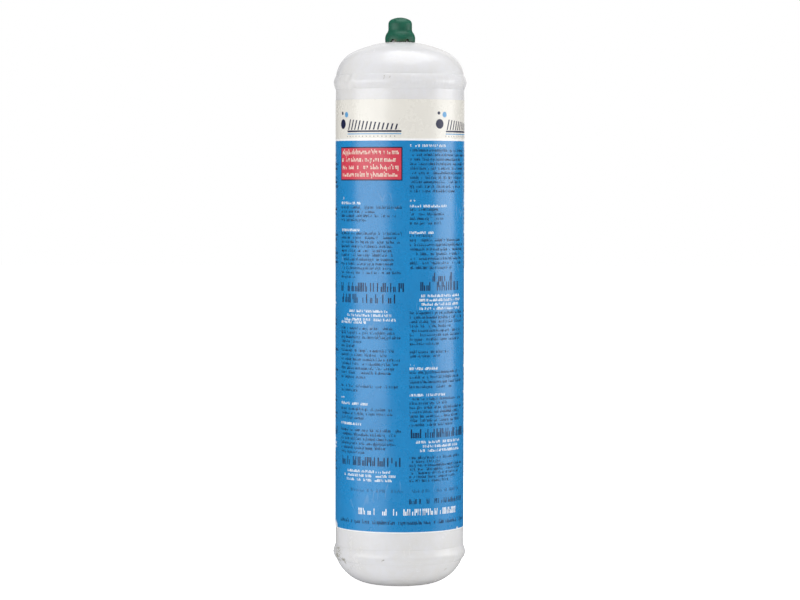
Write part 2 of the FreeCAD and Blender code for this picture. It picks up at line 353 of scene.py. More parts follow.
def makeTurnedMarks():
    # fine rings left by a lathe tool about Z
    group, given, result = newShaderGroup(
        "turnedMarks",
        {"Vector": ("Vector", None), "Size": ("Float", 5000.0)},
        {"Height": "Float"},
    )
    do = calculator(group)
    split = splitVector(group, given["Vector"])
    squares = do("ADD", do("POWER", split["X"], 2.0), do("POWER", split["Y"], 2.0))
    flat = joinVector(group, do("SQRT", squares), 0.0, split["Z"])
    group.links.new(noise(group, flat, given["Size"], 2.0), result["Height"])
    return group


paintSkin = makePaintSkin()
scratches = makeScratches()
chips = makeChips()
grime = makeGrime()
printGrain = makePrintGrain()
turnedMarks = makeTurnedMarks()


# finishes

def newFinish(name, roughness, metallic=0.0):
    finish = bpy.data.materials.new(name)
    finish.use_nodes = True
    tree = finish.node_tree
    tree.nodes.clear()
    shader = addNode(tree, "ShaderNodeBsdfPrincipled", {"Roughness": roughness, "Metallic": metallic})
    addNode(tree, "ShaderNodeOutputMaterial", {"Surface": shader.outputs[0]})
    place = addNode(tree, "ShaderNodeTexCoord").outputs["Object"]
    return finish, tree, shader, place


def bumpFrom(tree, shader, height, distance, strength=1.0):
    bump = addNode(tree, "ShaderNodeBump", {"Height": height, "Distance": distance, "Strength": strength})
    tree.links.new(bump.outputs[0], shader.inputs["Normal"])


enamel = {
    "clean": fromScreen(222, 222, 225),
    "warm": fromScreen(217, 215, 211),
    "dust": fromScreen(196, 192, 181),
    "chipped": fromScreen(120, 116, 92),
    "roughness": 0.24,
    "bump": 0.00022,
    "cloudShare": 0.6, "chipShare": 0.75,                        # how strongly they tint
    "scratchDull": 0.18, "chipDull": 0.35, "dustDull": 0.05,     # roughness they add
    "chipDepth": 0.25,
    # worn places: angle from the front, height, reach in mm, how dense
    "worn": [
        (-69, 17, 11, 0.42), (-54, 8, 9, 0.34), (-59, 14.5, 5, 0.42), (-50, 12, 3, 0.45),
        (-46, 5.5, 3.5, 0.4), (50, 7, 12, 0.26), (-14, 16.5, 3, 0.36), (160, 12, 15, 0.4),
        (-14, 275, 2.2, 0.42), (-9, 275.5, 1.6, 0.40), (120, 276, 6, 0.34),
    ],
}


def chipMask(tree, place, worn, **more):
    # the worn places of one list as one mask
    masks = []
    for angle, height, reach, amount in worn:
        spot = {"Vector": place, "Centre": onTube(angle, height), "Reach": reach * mm, "Amount": amount}
        masks.append(placeGroup(tree, chips, {**spot, **more})["Mask"])
    return calculator(tree)("MAXIMUM", *masks)


def makeEnamel(name, sag, peel, dusty):
    finish, tree, shader, place = newFinish(name, enamel["roughness"])
    do = calculator(tree)
    cloud = placeGroup(tree, grime, {"Vector": place, "Size": 30.0, "Low": 0.4, "High": 0.62})["Mask"]
    colour = mixColours(tree, do("MULTIPLY", cloud, enamel["cloudShare"]), enamel["clean"], enamel["warm"])
    dust = placeGroup(tree, grime, {"Vector": place, "Size": 70.0, "Low": 0.5, "High": 0.7})["Mask"]
    colour = mixColours(tree, do("MULTIPLY", dust, dusty), colour, enamel["dust"])
    worn = chipMask(tree, place, enamel["worn"])
    colour = mixColours(tree, do("MULTIPLY", worn, enamel["chipShare"]), colour, enamel["chipped"])
    tree.links.new(colour, shader.inputs["Base Color"])
    marks = placeGroup(tree, scratches, {"Vector": place, "Size": 90.0})["Mask"]
    dull = do("ADD", do("MULTIPLY", marks, enamel["scratchDull"]), do("MULTIPLY", worn, enamel["chipDull"]))
    rough = do("ADD", enamel["roughness"], do("ADD", dull, do("MULTIPLY", dust, enamel["dustDull"])))
    tree.links.new(rough, shader.inputs["Roughness"])
    skin = placeGroup(tree, paintSkin, {"Vector": place, "Sag": sag, "Peel": peel})["Height"]
    bumpFrom(tree, shader, do("SUBTRACT", skin, do("MULTIPLY", worn, enamel["chipDepth"])), enamel["bump"])
    return finish


filmLook = {
    "cream": fromScreen(226, 223, 215),
    "hairline": fromScreen(240, 240, 240),
    "blue": fromScreen(13, 135, 199),
    "blueDeep": fromScreen(9, 127, 190),
    "roughness": 0.27,
    "gloss": 0.66,
    "footLine": 31.6, "blueTop": 241.6, "lineTop": 242.7,    # heights in mm where each band ends
    "edgeSoft": 0.04, "edgeWobble": 0.1,                     # mm
    "scratchShare": 0.10, "scratchDull": 0.2, "dustDull": 0.10,
    "bump": 0.00014,
    # places where the ink is rubbed off the edge: angle, height, reach in mm, how dense
    "rubbed": [(-80, 31.5, 5.8, 0.75), (64, 31.0, 3.0, 0.5), (146, 31.2, 5.0, 0.5)],
    "rubbedSize": 420.0,
}


def aboveEdge(tree, height, edge):
    # 0 below the edge and 1 above it
    soft = filmLook["edgeSoft"]
    return spread(tree, height, (edge - soft) * mm, (edge + soft) * mm)


def makeFilm():
    finish, tree, shader, place = newFinish("labelFilmPrint", filmLook["roughness"])
    shader.inputs["Specular IOR Level"].default_value = filmLook["gloss"]
    do = calculator(tree)
    wobble = do("SUBTRACT", noise(tree, place, 140.0, 2.0), 0.5)
    height = do("MULTIPLY_ADD", wobble, filmLook["edgeWobble"] * mm, splitVector(tree, place)["Z"])
    cloud = placeGroup(tree, grime, {"Vector": place, "Size": 22.0, "Low": 0.35, "High": 0.65})["Mask"]
    blue = mixColours(tree, cloud, filmLook["blue"], filmLook["blueDeep"])
    colour = mixColours(tree, aboveEdge(tree, height, filmLook["footLine"]), filmLook["hairline"], blue)
    colour = mixColours(tree, aboveEdge(tree, height, filmLook["blueTop"]), colour, filmLook["hairline"])
    colour = mixColours(tree, aboveEdge(tree, height, filmLook["lineTop"]), colour, filmLook["cream"])
    inked = placeGroup(tree, printGrain, {"Vector": place, "Colour": colour})
    lines = {"Vector": place, "Size": 75.0, "Stretch": 0.3, "Sparse": 0.60}
    marks = placeGroup(tree, scratches, lines)["Mask"]
    rubbed = chipMask(tree, place, filmLook["rubbed"], Size=filmLook["rubbedSize"])
    wear = do("MAXIMUM", do("MULTIPLY", marks, filmLook["scratchShare"]), rubbed)
    worn = mixColours(tree, wear, inked["Colour"], filmLook["hairline"])
    tree.links.new(worn, shader.inputs["Base Color"])
    dust = placeGroup(tree, grime, {"Vector": place, "Size": 60.0})["Mask"]
    dull = do("MULTIPLY_ADD", marks, filmLook["scratchDull"], do("MULTIPLY", dust, filmLook["dustDull"]))
    tree.links.new(do("ADD", filmLook["roughness"], dull), shader.inputs["Roughness"])
    wave = do("MULTIPLY_ADD", inked["Height"], 0.02, noise(tree, place, 60.0, 2.0))
    bumpFrom(tree, shader, wave, filmLook["bump"])
    return finish


def makeInk(name, colour, roughness=0.32):
    finish, tree, shader, place = newFinish(name, roughness)
    do = calculator(tree)
    inked = placeGroup(tree, printGrain, {"Vector": place, "Colour": colour, "Mottle": 0.10, "Grain": 0.10})
    tree.links.new(inked["Colour"], shader.inputs["Base Color"])
    rubbed = placeGroup(tree, grime, {"Vector": place, "Size": 120.0})["Mask"]
    tree.links.new(do("MULTIPLY_ADD", rubbed, 0.12, roughness), shader.inputs["Roughness"])
    bumpFrom(tree, shader, inked["Height"], 0.000004)
    return finish


capLook = {
    "green": fromScreen(25, 98, 76),
    "deep": fromScreen(19, 87, 67),
    "worn": fromScreen(92, 146, 120),
    # painted shade: a brownish darkening low on the skirt's rim, near its front and back
    "paintedRimShade": fromScreen(96, 74, 40),
    "roughness": 0.46,
    "gloss": 0.34,
    "rimShadeTop": 297.3, "rimShadeFoot": 295.9,      # mm: brownish painted shade low on the rim, stronger towards its foot
    "rimShadeNear": 3.0, "rimShadeFar": 6.0,          # mm from the middle, where that fades out
    "rimShadeShare": 0.7,
    "scratchShare": 0.22, "rubShare": 0.14, "wearDull": 0.4,
    "bump": 0.00007,
}


def makeCapPlastic():
    finish, tree, shader, place = newFinish("capPlastic", capLook["roughness"])
    shader.inputs["Specular IOR Level"].default_value = capLook["gloss"]
    do = calculator(tree)
    flow = noise(tree, place, 160.0, 3.0, Distortion=0.8)
    colour = mixColours(tree, spread(tree, flow, 0.35, 0.65), capLook["green"], capLook["deep"])
    split = splitVector(tree, place)
    # painted shade: brownish darkening low on the rim, fading out away from the front and back
    rim = spread(tree, split["Z"], capLook["rimShadeTop"] * mm, capLook["rimShadeFoot"] * mm)
    aside = spread(
        tree, do("ABSOLUTE", split["X"]), capLook["rimShadeNear"] * mm, capLook["rimShadeFar"] * mm, 1.0, 0.15,
    )
    thin = do("MULTIPLY", rim, do("MULTIPLY", spread(tree, flow, 0.38, 0.56), aside))
    colour = mixColours(tree, do("MULTIPLY", thin, capLook["rimShadeShare"]), colour, capLook["paintedRimShade"])
    marks = placeGroup(tree, scratches, {"Vector": place, "Size": 380.0, "Stretch": 0.3})["Mask"]
    rubbed = placeGroup(tree, grime, {"Vector": place, "Size": 260.0, "Low": 0.56, "High": 0.72})["Mask"]
    rubbed = do("MULTIPLY", rubbed, capLook["rubShare"])
    wear = do("MAXIMUM", do("MULTIPLY", marks, capLook["scratchShare"]), rubbed)
    colour = mixColours(tree, wear, colour, capLook["worn"])
    tree.links.new(colour, shader.inputs["Base Color"])
    rough = do("MULTIPLY_ADD", wear, capLook["wearDull"], capLook["roughness"])
    tree.links.new(rough, shader.inputs["Roughness"])
    bumpFrom(tree, shader, do("MULTIPLY_ADD", noise(tree, place, 2600.0, 2.0), 0.25, flow), capLook["bump"])
    return finish


def makeTurnedMetal(name, light, dark, roughness, stain):
    finish, tree, shader, place = newFinish(name, roughness, 1.0)
    do = calculator(tree)
    rings = placeGroup(tree, turnedMarks, {"Vector": place})["Height"]
    tarnish = placeGroup(tree, grime, {"Vector": place, "Size": 200.0, "Low": 0.4, "High": 0.66})["Mask"]
    colour = mixColours(tree, do("MULTIPLY", tarnish, stain), light, dark)
    colour = mixColours(tree, spread(tree, rings, 0.45, 0.7, 0.0, 0.3), colour, dark)
    tree.links.new(colour, shader.inputs["Base Color"])
    tree.links.new(do("MULTIPLY_ADD", tarnish, 0.25, roughness), shader.inputs["Roughness"])
    bumpFrom(tree, shader, rings, 0.00002)
    return finish


def makeMouldedSeal(name, colour, shade, roughness):
    finish, tree, shader, place = newFinish(name, roughness)
    do = calculator(tree)
    cloud = placeGroup(tree, grime, {"Vector": place, "Size": 300.0, "Low": 0.35, "High": 0.7})["Mask"]
    tree.links.new(mixColours(tree, cloud, colour, shade), shader.inputs["Base Color"])
    fine = noise(tree, place, 6000.0, 3.0)
    tree.links.new(do("MULTIPLY_ADD", fine, 0.2, roughness), shader.inputs["Roughness"])
    bumpFrom(tree, shader, fine, 0.00002)
    return finish


def makeSintered():
    finish, tree, shader, place = newFinish("sinteredBronze", 0.55, 0.9)
    balls = addNode(tree, "ShaderNodeTexVoronoi", {"Vector": place, "Scale": 5500.0})
    shadow = spread(tree, balls.outputs["Distance"], 0.2, 0.75)
    colour = mixColours(tree, shadow, fromScreen(196, 160, 104), fromScreen(74, 56, 34))
    tree.links.new(colour, shader.inputs["Base Color"])
    tree.links.new(spread(tree, shadow, 0, 1, 0.45, 0.8), shader.inputs["Roughness"])
    bumpFrom(tree, shader, spread(tree, shadow, 0, 1, 1, 0), 0.00008)
    return finish


whiteEnamel = makeEnamel("whiteEnamel", 0.7, 0.12, 0.10)
weldEnamel = makeEnamel("weldEnamel", 1.3, 0.22, 0.06)
labelFilmPrint = makeFilm()
navyInk = makeInk("navyInk", fromScreen(20, 28, 66))
whiteInk = makeInk("whiteInk", fromScreen(244, 246, 248))
redInk = makeInk("redInk", fromScreen(206, 58, 78))
paleInk = makeInk("paleInk", fromScreen(244, 232, 214))
skyInk = makeInk("skyInk", fromScreen(92, 158, 206))
greyInk = makeInk("greyInk", fromScreen(128, 128, 132))
stampInk = makeInk("stampInk", fromScreen(30, 66, 110))
capPlastic = makeCapPlastic()
valveBrass = makeTurnedMetal("valveBrass", fromScreen(222, 190, 118), fromScreen(158, 120, 62), 0.26, 0.6)
washerCopper = makeTurnedMetal("washerCopper", fromScreen(214, 138, 104), fromScreen(138, 78, 54), 0.34, 0.8)
pinSteel = makeTurnedMetal("pinSteel", fromScreen(208, 208, 210), fromScreen(150, 150, 154), 0.22, 0.4)
springSteel = makeTurnedMetal("springSteel", fromScreen(186, 186, 190), fromScreen(120, 120, 126), 0.3, 0.5)
sealPolymer = makeMouldedSeal("sealPolymer", fromScreen(232, 228, 214), fromScreen(212, 204, 182), 0.5)
sealRubber = makeMouldedSeal("sealRubber", fromScreen(34, 34, 35), fromScreen(58, 57, 56), 0.6)
sinteredBronze = makeSintered()
print("finishes mixed")


# making pieces

def atTurn(turn, radius, height):
    # point in metres, turned this far to the right of the front, from radius and height in mm
    return (radius * mm * math.sin(turn), -radius * mm * math.cos(turn), height * mm)


def arcPoints(centreR, centreZ, radius, start, end, count):
    # points of an arc in the turning plane, angles in degrees from +r towards +z
    points = []
    for i in range(count + 1):
        turn = math.radians(start + (end - start) * i / count)
        points.append((centreR + radius * math.cos(turn), centreZ + radius * math.sin(turn)))
    return points


def pieceFrom(bm, name, finish, sharp=32.0):
    # bmesh in metres to a smooth-shaded object at the origin
    bmesh.ops.remove_doubles(bm, verts=bm.verts, dist=1e-8)
    bmesh.ops.recalc_face_normals(bm, faces=bm.faces)
    mesh = bpy.data.meshes.new(name)
    bm.to_mesh(mesh)
    bm.free()
    mesh.shade_smooth()
    mesh.set_sharp_from_angle(angle=math.radians(sharp))
    mesh.materials.append(finish)
    piece = bpy.data.objects.new(name, mesh)
    bpy.context.scene.collection.objects.link(piece)
    return piece


def hexReach(turn, flats):
    # distance from the axis to the side of a hexagon whose corners are at 30 degrees and every 60 on
    past = (math.degrees(turn) - 30) % 60
    return flats / 2 / math.cos(math.radians(past - 30))


def turnedShell(bm, outline, segments):
    # closed outline in mm, turned about Z: (r, z), or (r, z, flats) where a hexagon cuts the round
    rings = []
    for r, z, *flats in outline:
        ring = []
        for i in range(segments if r > 1e-6 else 1):
            turn = wholeTurn * i / segments
            reach = min(r, hexReach(turn, flats[0])) if flats else r
            ring.append(bm.verts.new((reach * mm * math.cos(turn), reach * mm * math.sin(turn), z * mm)))
        rings.append(ring)
    count = len(rings)
    for k in range(count):
        low, high = rings[k], rings[(k + 1) % count]
        for i in range(segments):
            j = (i + 1) % segments
            corners = [low[i % len(low)], low[j % len(low)], high[j % len(high)], high[i % len(high)]]
            corners = list(dict.fromkeys(corners))
            if len(corners) > 2:
                bm.faces.new(corners)


def turnedPiece(name, outline, finish, segments=288, sharp=32.0):
    bm = bmesh.new()
    turnedShell(bm, outline, segments)
    return pieceFrom(bm, name, finish, sharp)


def stitch(bm, columns, closed=True):
    # faces between neighbouring columns of points; each column is a closed section
    for i in range(len(columns) if closed else len(columns) - 1):
        column, following = columns[i], columns[(i + 1) % len(columns)]
        for k in range(len(column)):
            j = (k + 1) % len(column)
            corners = list(dict.fromkeys([column[k], following[k], following[j], column[j]]))
            if len(corners) > 2:
                bm.faces.new(corners)


def standFor(piece, body, slotName, *nodes):
    if nodes:
        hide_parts(*nodes)
    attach(piece, body)


def newGeometryTree(name, inputs):
    tree = bpy.data.node_groups.new(name, "GeometryNodeTree")
    tree.interface.new_socket("Geometry", in_out="INPUT", socket_type="NodeSocketGeometry")
    for label, (kind, value) in inputs.items():
        socket = tree.interface.new_socket(label, in_out="INPUT", socket_type="NodeSocket" + kind)
        if value is not None:
            socket.default_value = value
    tree.interface.new_socket("Geometry", in_out="OUTPUT", socket_type="NodeSocketGeometry")
    given = tree.nodes.new("NodeGroupInput").outputs
    result = tree.nodes.new("NodeGroupOutput").inputs
    return tree, given, result


def finishTree(tree, geometry, finish, result, smooth=True):
    # every tree ends the same way: real mesh, shading, finish
    real = addNode(tree, "GeometryNodeRealizeInstances", {"Geometry": geometry}).outputs[0]
    sockets = {"Geometry": real, "Shade Smooth": smooth}
    shaded = addNode(tree, "GeometryNodeSetShadeSmooth", sockets).outputs[0]
    painted = addNode(tree, "GeometryNodeSetMaterial", {"Geometry": shaded, "Material": finish}).outputs[0]
    tree.links.new(painted, result["Geometry"])


def circleCurve(tree, resolution, radius):
    sockets = {"Resolution": resolution, "Radius": radius}
    return addNode(tree, "GeometryNodeCurvePrimitiveCircle", sockets, mode="RADIUS").outputs["Curve"]


def placeOf(tree):
    # X, Y and Z of each point
    return splitVector(tree, addNode(tree, "GeometryNodeInputPosition").outputs[0])


def moveTo(tree, geometry, place):
    return addNode(tree, "GeometryNodeSetPosition", {"Geometry": geometry, "Position": place}).outputs[0]


def roundTube(tree, radius, turn, height):
    # place at this radius, turned to the right of the front
    do = calculator(tree)
    back = do("MULTIPLY", radius, do("COSINE", turn), -1.0)
    return joinVector(tree, do("MULTIPLY", radius, do("SINE", turn)), back, height)


def useOneFinish(mesh, finish):
    mesh.materials.clear()
    mesh.materials.append(finish)
    mesh.polygons.foreach_set("material_index", [0] * len(mesh.polygons))


def runTree(name, startMesh, tree, values):
    # lets the tree work on the start mesh and keeps the result as a plain mesh
    piece = bpy.data.objects.new(name, startMesh)
    bpy.context.scene.collection.objects.link(piece)
    modifier = piece.modifiers.new(tree.name, "NODES")
    modifier.node_group = tree
    for item in tree.interface.items_tree:
        if item.item_type == "SOCKET" and item.in_out == "INPUT" and item.name in values:
            modifier[item.identifier] = values[item.name]
    graph = bpy.context.evaluated_depsgraph_get()
    made = bpy.data.meshes.new_from_object(piece.evaluated_get(graph))
    piece.modifiers.remove(modifier)
    piece.data = made
    made.name = name
    useOneFinish(made, values.get("Ink") or values.get("Finish"))
    bpy.data.meshes.remove(startMesh)
    return piece


def outwardFaces(piece, capped=False):
    # turns every closed shell of the piece outside out, and first caps open ends if asked to
    bm = bmesh.new()
    bm.from_mesh(piece.data)
    if capped:
        bmesh.ops.holes_fill(bm, edges=[edge for edge in bm.edges if edge.is_boundary], sides=0)
    bmesh.ops.recalc_face_normals(bm, faces=bm.faces)
    bm.to_mesh(piece.data)
    bm.free()


# vessel: tube and two pressed heads, each head's joggled edge slipped into the tube

vessel = {
    "wall": 2.0, "crownRadius": 60.5, "topKnuckle": 16.5, "footFlat": 14.5, "footKnuckle": 21.4,
    "neckHole": 6.45, "seamGap": 0.9, "spigot": 8.0, "tubeGap": 0.35, "tubeBevel": 0.9,
    "spigotPlay": 0.05, "stepIn": 0.5, "stepInside": 0.45,    # the joggle's play and its two bends
}
outer = tubeRadius / mm
inner = outer - vessel["wall"]
bottomSeam = (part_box("bottom_weld_bead")[0].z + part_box("bottom_weld_bead")[1].z) / 2 / mm
topSeam = (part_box("top_weld_bead")[0].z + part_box("top_weld_bead")[1].z) / 2 / mm
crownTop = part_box("top_head")[1].z / mm
crownCentre = crownTop - math.sqrt(vessel["crownRadius"] ** 2 - vessel["neckHole"] ** 2)
knuckleR = outer - vessel["topKnuckle"]
knuckleZ = crownCentre + math.sqrt((vessel["crownRadius"] - vessel["topKnuckle"]) ** 2 - knuckleR ** 2)


def joggle(seam, up):
    # the head's edge steps in by one wall and runs on inside the tube
    wall = vessel["wall"]
    edge = seam - up * vessel["seamGap"]
    spigotR = inner - vessel["spigotPlay"]
    end = seam + up * vessel["spigot"]
    return [
        (outer, edge), (spigotR, edge + up * (outer - spigotR)), (spigotR, end),
        (spigotR - wall, end), (spigotR - wall, edge + up * (wall - vessel["stepInside"])),
        (inner, edge - up * vessel["stepIn"]),
    ]


def makeTube():
    wall, gap, bevel = vessel["wall"], vessel["tubeGap"], vessel["tubeBevel"]
    foot = bottomSeam - vessel["seamGap"] + wall + gap
    head = topSeam + vessel["seamGap"] - wall - gap
    outline = [(inner, foot), (outer, foot + bevel), (outer, head - bevel), (inner, head)]
    standFor(turnedPiece("tubeShell", outline, whiteEnamel), "cylinder", "painted_steel", "body_tube")


def makeTopHead():
    crown, knuckle, wall = vessel["crownRadius"], vessel["topKnuckle"], vessel["wall"]
    meet = math.degrees(math.atan2(knuckleZ - crownCentre, knuckleR))
    hole = math.degrees(math.acos(vessel["neckHole"] / crown))
    innerHole = math.degrees(math.acos(vessel["neckHole"] / (crown - wall)))
    outline = arcPoints(0, crownCentre, crown, hole, meet, 24)
    outline += arcPoints(knuckleR, knuckleZ, knuckle, meet, 0, 26)[1:]
    outline += joggle(topSeam, -1)
    outline += arcPoints(knuckleR, knuckleZ, knuckle - wall, 0, meet, 16)
    outline += arcPoints(0, crownCentre, crown - wall, meet, innerHole, 14)[1:]
    piece = turnedPiece("topHead", outline, whiteEnamel)
    standFor(piece, "cylinder", "painted_steel", "top_head")


def makeBottomHead():
    flat, knuckle, wall = vessel["footFlat"], vessel["footKnuckle"], vessel["wall"]
    start = math.degrees(math.acos((outer - flat) / knuckle))
    innerStart = math.degrees(math.acos((inner - flat) / (knuckle - wall)))
    outline = [(0, 0)] + arcPoints(flat, knuckle, knuckle, -90, -start, 30)
    outline += joggle(bottomSeam, 1)
    outline += arcPoints(flat, knuckle, knuckle - wall, -innerStart, -90, 18) + [(0, wall)]
    piece = turnedPiece("bottomHead", outline, whiteEnamel)
    standFor(piece, "cylinder", "painted_steel", "bottom_head")


makeTube()
makeTopHead()
makeBottomHead()
print("vessel formed")


# weld beads: one run of weld metal round each seam, under the enamel

beadSizes = {
    "halfWidth": 3.95, "crest": 1.3, "embed": 0.5, "ripplePitch": 2.3, "rippleDepth": 0.02,
    "edgeDrift": 0.35, "heightDrift": 0.22, "stopReach": 6.0, "stopLift": 0.33, "stopShift": 0.9,
    "fullness": 1.45, "kink": 2.6, "rippleBow": 2.6, "rippleWander": 9.0, "driftSize": 5.0, "slowSize": 2.2,
    "stepsRound": 1000, "stepsAcross": 34,
}


def buildBeadTree():
    inputs = {
        "Tube Radius": outer * mm, "Seam Height": 0.0, "Half Width": beadSizes["halfWidth"] * mm,
        "Crest": beadSizes["crest"] * mm, "Embed": beadSizes["embed"] * mm,
        "Knuckle Centre Radius": 0.0, "Knuckle Radius": 0.01, "Knuckle Height": 0.0, "Head Side": 1.0,
        "Ripple Pitch": beadSizes["ripplePitch"] * mm, "Ripple Depth": beadSizes["rippleDepth"] * mm,
        "Edge Drift": beadSizes["edgeDrift"] * mm, "Height Drift": beadSizes["heightDrift"] * mm,
        "Stop Angle": 0.0, "Stop Reach": math.radians(beadSizes["stopReach"]),
        "Stop Lift": beadSizes["stopLift"] * mm, "Stop Shift": beadSizes["stopShift"] * mm, "Seed": 3.0,
    }
    inputs = {name: ("Float", value) for name, value in inputs.items()}
    inputs["Steps Round"] = ("Int", beadSizes["stepsRound"])
    inputs["Steps Across"] = ("Int", beadSizes["stepsAcross"])
    inputs["Finish"] = ("Material", None)
    tree, given, result = newGeometryTree("weldBead", inputs)
    do = calculator(tree)
    guide = circleCurve(tree, given["Steps Round"], given["Tube Radius"])
    section = circleCurve(tree, given["Steps Across"], mm)
    ribbon = addNode(tree, "GeometryNodeCurveToMesh", {"Curve": guide, "Profile Curve": section}).outputs[0]
    part = placeOf(tree)
    away = do("SQRT", do("ADD", do("MULTIPLY", part["X"], part["X"]), do("MULTIPLY", part["Y"], part["Y"])))
    turn = do("ARCTAN2", part["X"], do("MULTIPLY", part["Y"], -1.0))
    across = do("DIVIDE", part["Z"], mm)    # -1 at the lower toe, +1 at the upper
    outside = do("GREATER_THAN", do("SUBTRACT", away, given["Tube Radius"]), -1e-6)
    level = do("SUBTRACT", 1.0, do("POWER", do("ABSOLUTE", across), beadSizes["fullness"]))

    around = joinVector(tree, do("SINE", turn), do("COSINE", turn), given["Seed"])
    drift = noise(tree, around, beadSizes["driftSize"], 3.0)
    sway = do("SUBTRACT", drift, 0.5)
    slowSway = do("SUBTRACT", noise(tree, around, beadSizes["slowSize"], 2.0), 0.5)
    fromStop = do("DIVIDE", do("SUBTRACT", turn, given["Stop Angle"]), given["Stop Reach"])
    stop = do("EXPONENT", do("MULTIPLY", fromStop, fromStop, -1.0))
    kink = do("MULTIPLY", stop, do("SINE", do("MULTIPLY", fromStop, beadSizes["kink"])))

    width = do("MULTIPLY_ADD", sway, given["Edge Drift"], given["Half Width"])
    middle = do("MULTIPLY_ADD", slowSway, given["Edge Drift"], given["Seam Height"])
    middle = do("MULTIPLY_ADD", kink, given["Stop Shift"], middle)
    height = do("MULTIPLY_ADD", across, width, middle)

    # surface under the weld: tube wall, or the head's knuckle past its start
    past = do("MULTIPLY", do("SUBTRACT", height, given["Knuckle Height"]), given["Head Side"])
    past = do("MAXIMUM", 0.0, past)
    square = do("SUBTRACT", do("POWER", given["Knuckle Radius"], 2.0), do("MULTIPLY", past, past))
    wall = do("MINIMUM", given["Tube Radius"], do("ADD", given["Knuckle Centre Radius"], do("SQRT", square)))

    ripples = do("DIVIDE", do("MULTIPLY", turn, given["Tube Radius"]), given["Ripple Pitch"])
    bow = do("MULTIPLY", across, across, beadSizes["rippleBow"])
    wander = do("MULTIPLY", drift, beadSizes["rippleWander"])
    phase = do("ADD", do("MULTIPLY", ripples, wholeTurn), bow, wander)
    ripple = do("MULTIPLY", do("SINE", phase), given["Ripple Depth"])
    crest = do("MULTIPLY_ADD", sway, given["Height Drift"], given["Crest"])
    crest = do("MULTIPLY_ADD", stop, given["Stop Lift"], crest)
    crest = do("SUBTRACT", crest, do("MULTIPLY", given["Height Drift"], 0.5))
    raised = do("MULTIPLY", level, do("ADD", crest, ripple))
    lift = do("SUBTRACT", do("MULTIPLY", outside, do("ADD", raised, given["Embed"])), given["Embed"])
    place = roundTube(tree, do("ADD", wall, lift), turn, height)
    finishTree(tree, moveTo(tree, ribbon, place), given["Finish"], result)
    return tree


beadTree = buildBeadTree()


def makeBead(name, node, seam, knuckle, side, stopAngle, seed):
    centreR, radius, height = knuckle
    piece = runTree(name, bpy.data.meshes.new(name + "Start"), beadTree, {
        "Seam Height": seam * mm, "Knuckle Centre Radius": centreR * mm, "Knuckle Radius": radius * mm,
        "Knuckle Height": height * mm, "Head Side": float(side), "Stop Angle": math.radians(stopAngle),
        "Seed": float(seed), "Finish": weldEnamel,
    })
    outwardFaces(piece)
    standFor(piece, "cylinder", "painted_weld", node)


makeBead("topBead", "top_weld_bead", topSeam, (knuckleR, vessel["topKnuckle"], knuckleZ), 1, -48, 3)
makeBead(
    "bottomBead", "bottom_weld_bead", bottomSeam,
    (vessel["footFlat"], vessel["footKnuckle"], vessel["footKnuckle"]), -1, 128, 8,
)
print("beads laid")


# label film: one turn round the tube, its end lapped over its start at the back

film = {
    "thickness": 0.12, "lapStart": 200.0, "lapTurn": 13.0, "rampTurn": 2.4, "rampSteps": 8,
    "foot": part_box("label_film")[0].z / mm, "head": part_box("label_film")[1].z / mm,
    "columns": 360, "rows": 24, "rounding": 0.03, "roundShare": 0.7,
}
filmRadius = outer + film["thickness"]


def filmSurface(angle):
    # outside radius of the film: it climbs over its own start and ends in a clean step
    past = (angle - film["lapStart"]) % 360
    before = 360 - past
    if past <= film["lapTurn"]:
        return filmRadius + film["thickness"]
    if before < film["rampTurn"]:
        climb = 1 - before / film["rampTurn"]
        return filmRadius + film["thickness"] * climb * climb * (3 - 2 * climb)
    return filmRadius


def makeFilmPiece():
    lap, ramp, count = film["lapStart"], film["rampTurn"], film["rampSteps"]
    angles = [360 * i / film["columns"] for i in range(film["columns"])]
    angles += [lap + film["lapTurn"] + 0.01, lap + 180 / film["columns"]]
    angles += [lap - ramp * k / count for k in range(count + 1)]
    foot, head, edge, share = film["foot"], film["head"], film["rounding"], film["roundShare"]
    section = [(0.0, foot), (0.0, head), (share, head), (1.0, head - edge)]
    section += [(1.0, head - (head - foot) * k / film["rows"]) for k in range(1, film["rows"])]
    section += [(1.0, foot + edge), (share, foot)]
    bm = bmesh.new()
    columns = []
    for angle in sorted(set(round(a % 360, 4) for a in angles)):
        thick = filmSurface(angle) - outer
        turn = math.radians(angle)
        columns.append([bm.verts.new(atTurn(turn, outer + thick * part, height)) for part, height in section])
    stitch(bm, columns)
    standFor(pieceFrom(bm, "labelFilm", labelFilmPrint, 40.0), "cylinder", "label_print", "label_film")


makeFilmPiece()
print("film wrapped")


# printing: rows of upright bars in place of wording, and discs, dashes and stripes in place of a mark;
# bars stand three to a group and never touch, so no group can make a letter

barKinds = {
    # bar height, group pitch, bar width in mm; share of groups left out, share of bars drawn taller
    "body": (1.2, 1.16, 0.23, 0.12, 0.30),
    "tiny": (0.95, 1.05, 0.20, 0.10, 0.20),
    "header": (1.35, 1.25, 0.27, 0.05, 0.0),
    "bold": (1.4, 1.42, 0.30, 0.08, 0.0),
    "heading": (4.8, 3.0, 0.62, 0.07, 0.0),
    "footBold": (2.7, 2.3, 0.46, 0.12, 0.0),
    "footLarge": (3.5, 2.9, 0.58, 0.10, 0.0),
    "footLine": (1.6, 1.42, 0.29, 0.12, 0.30),
    "stamp": (1.7, 1.85, 0.22, 0.20, 0.0),
    "panel": (1.9, 1.95, 0.38, 0.12, 0.26),
}
barSpread = (0.72, 1.12)    # widths of single bars, as shares of their kind's width
inkHeight = 0.03            # top of the ink above the film, in mm
inkRoot = 0.02              # how far the ink's box reaches down into the film


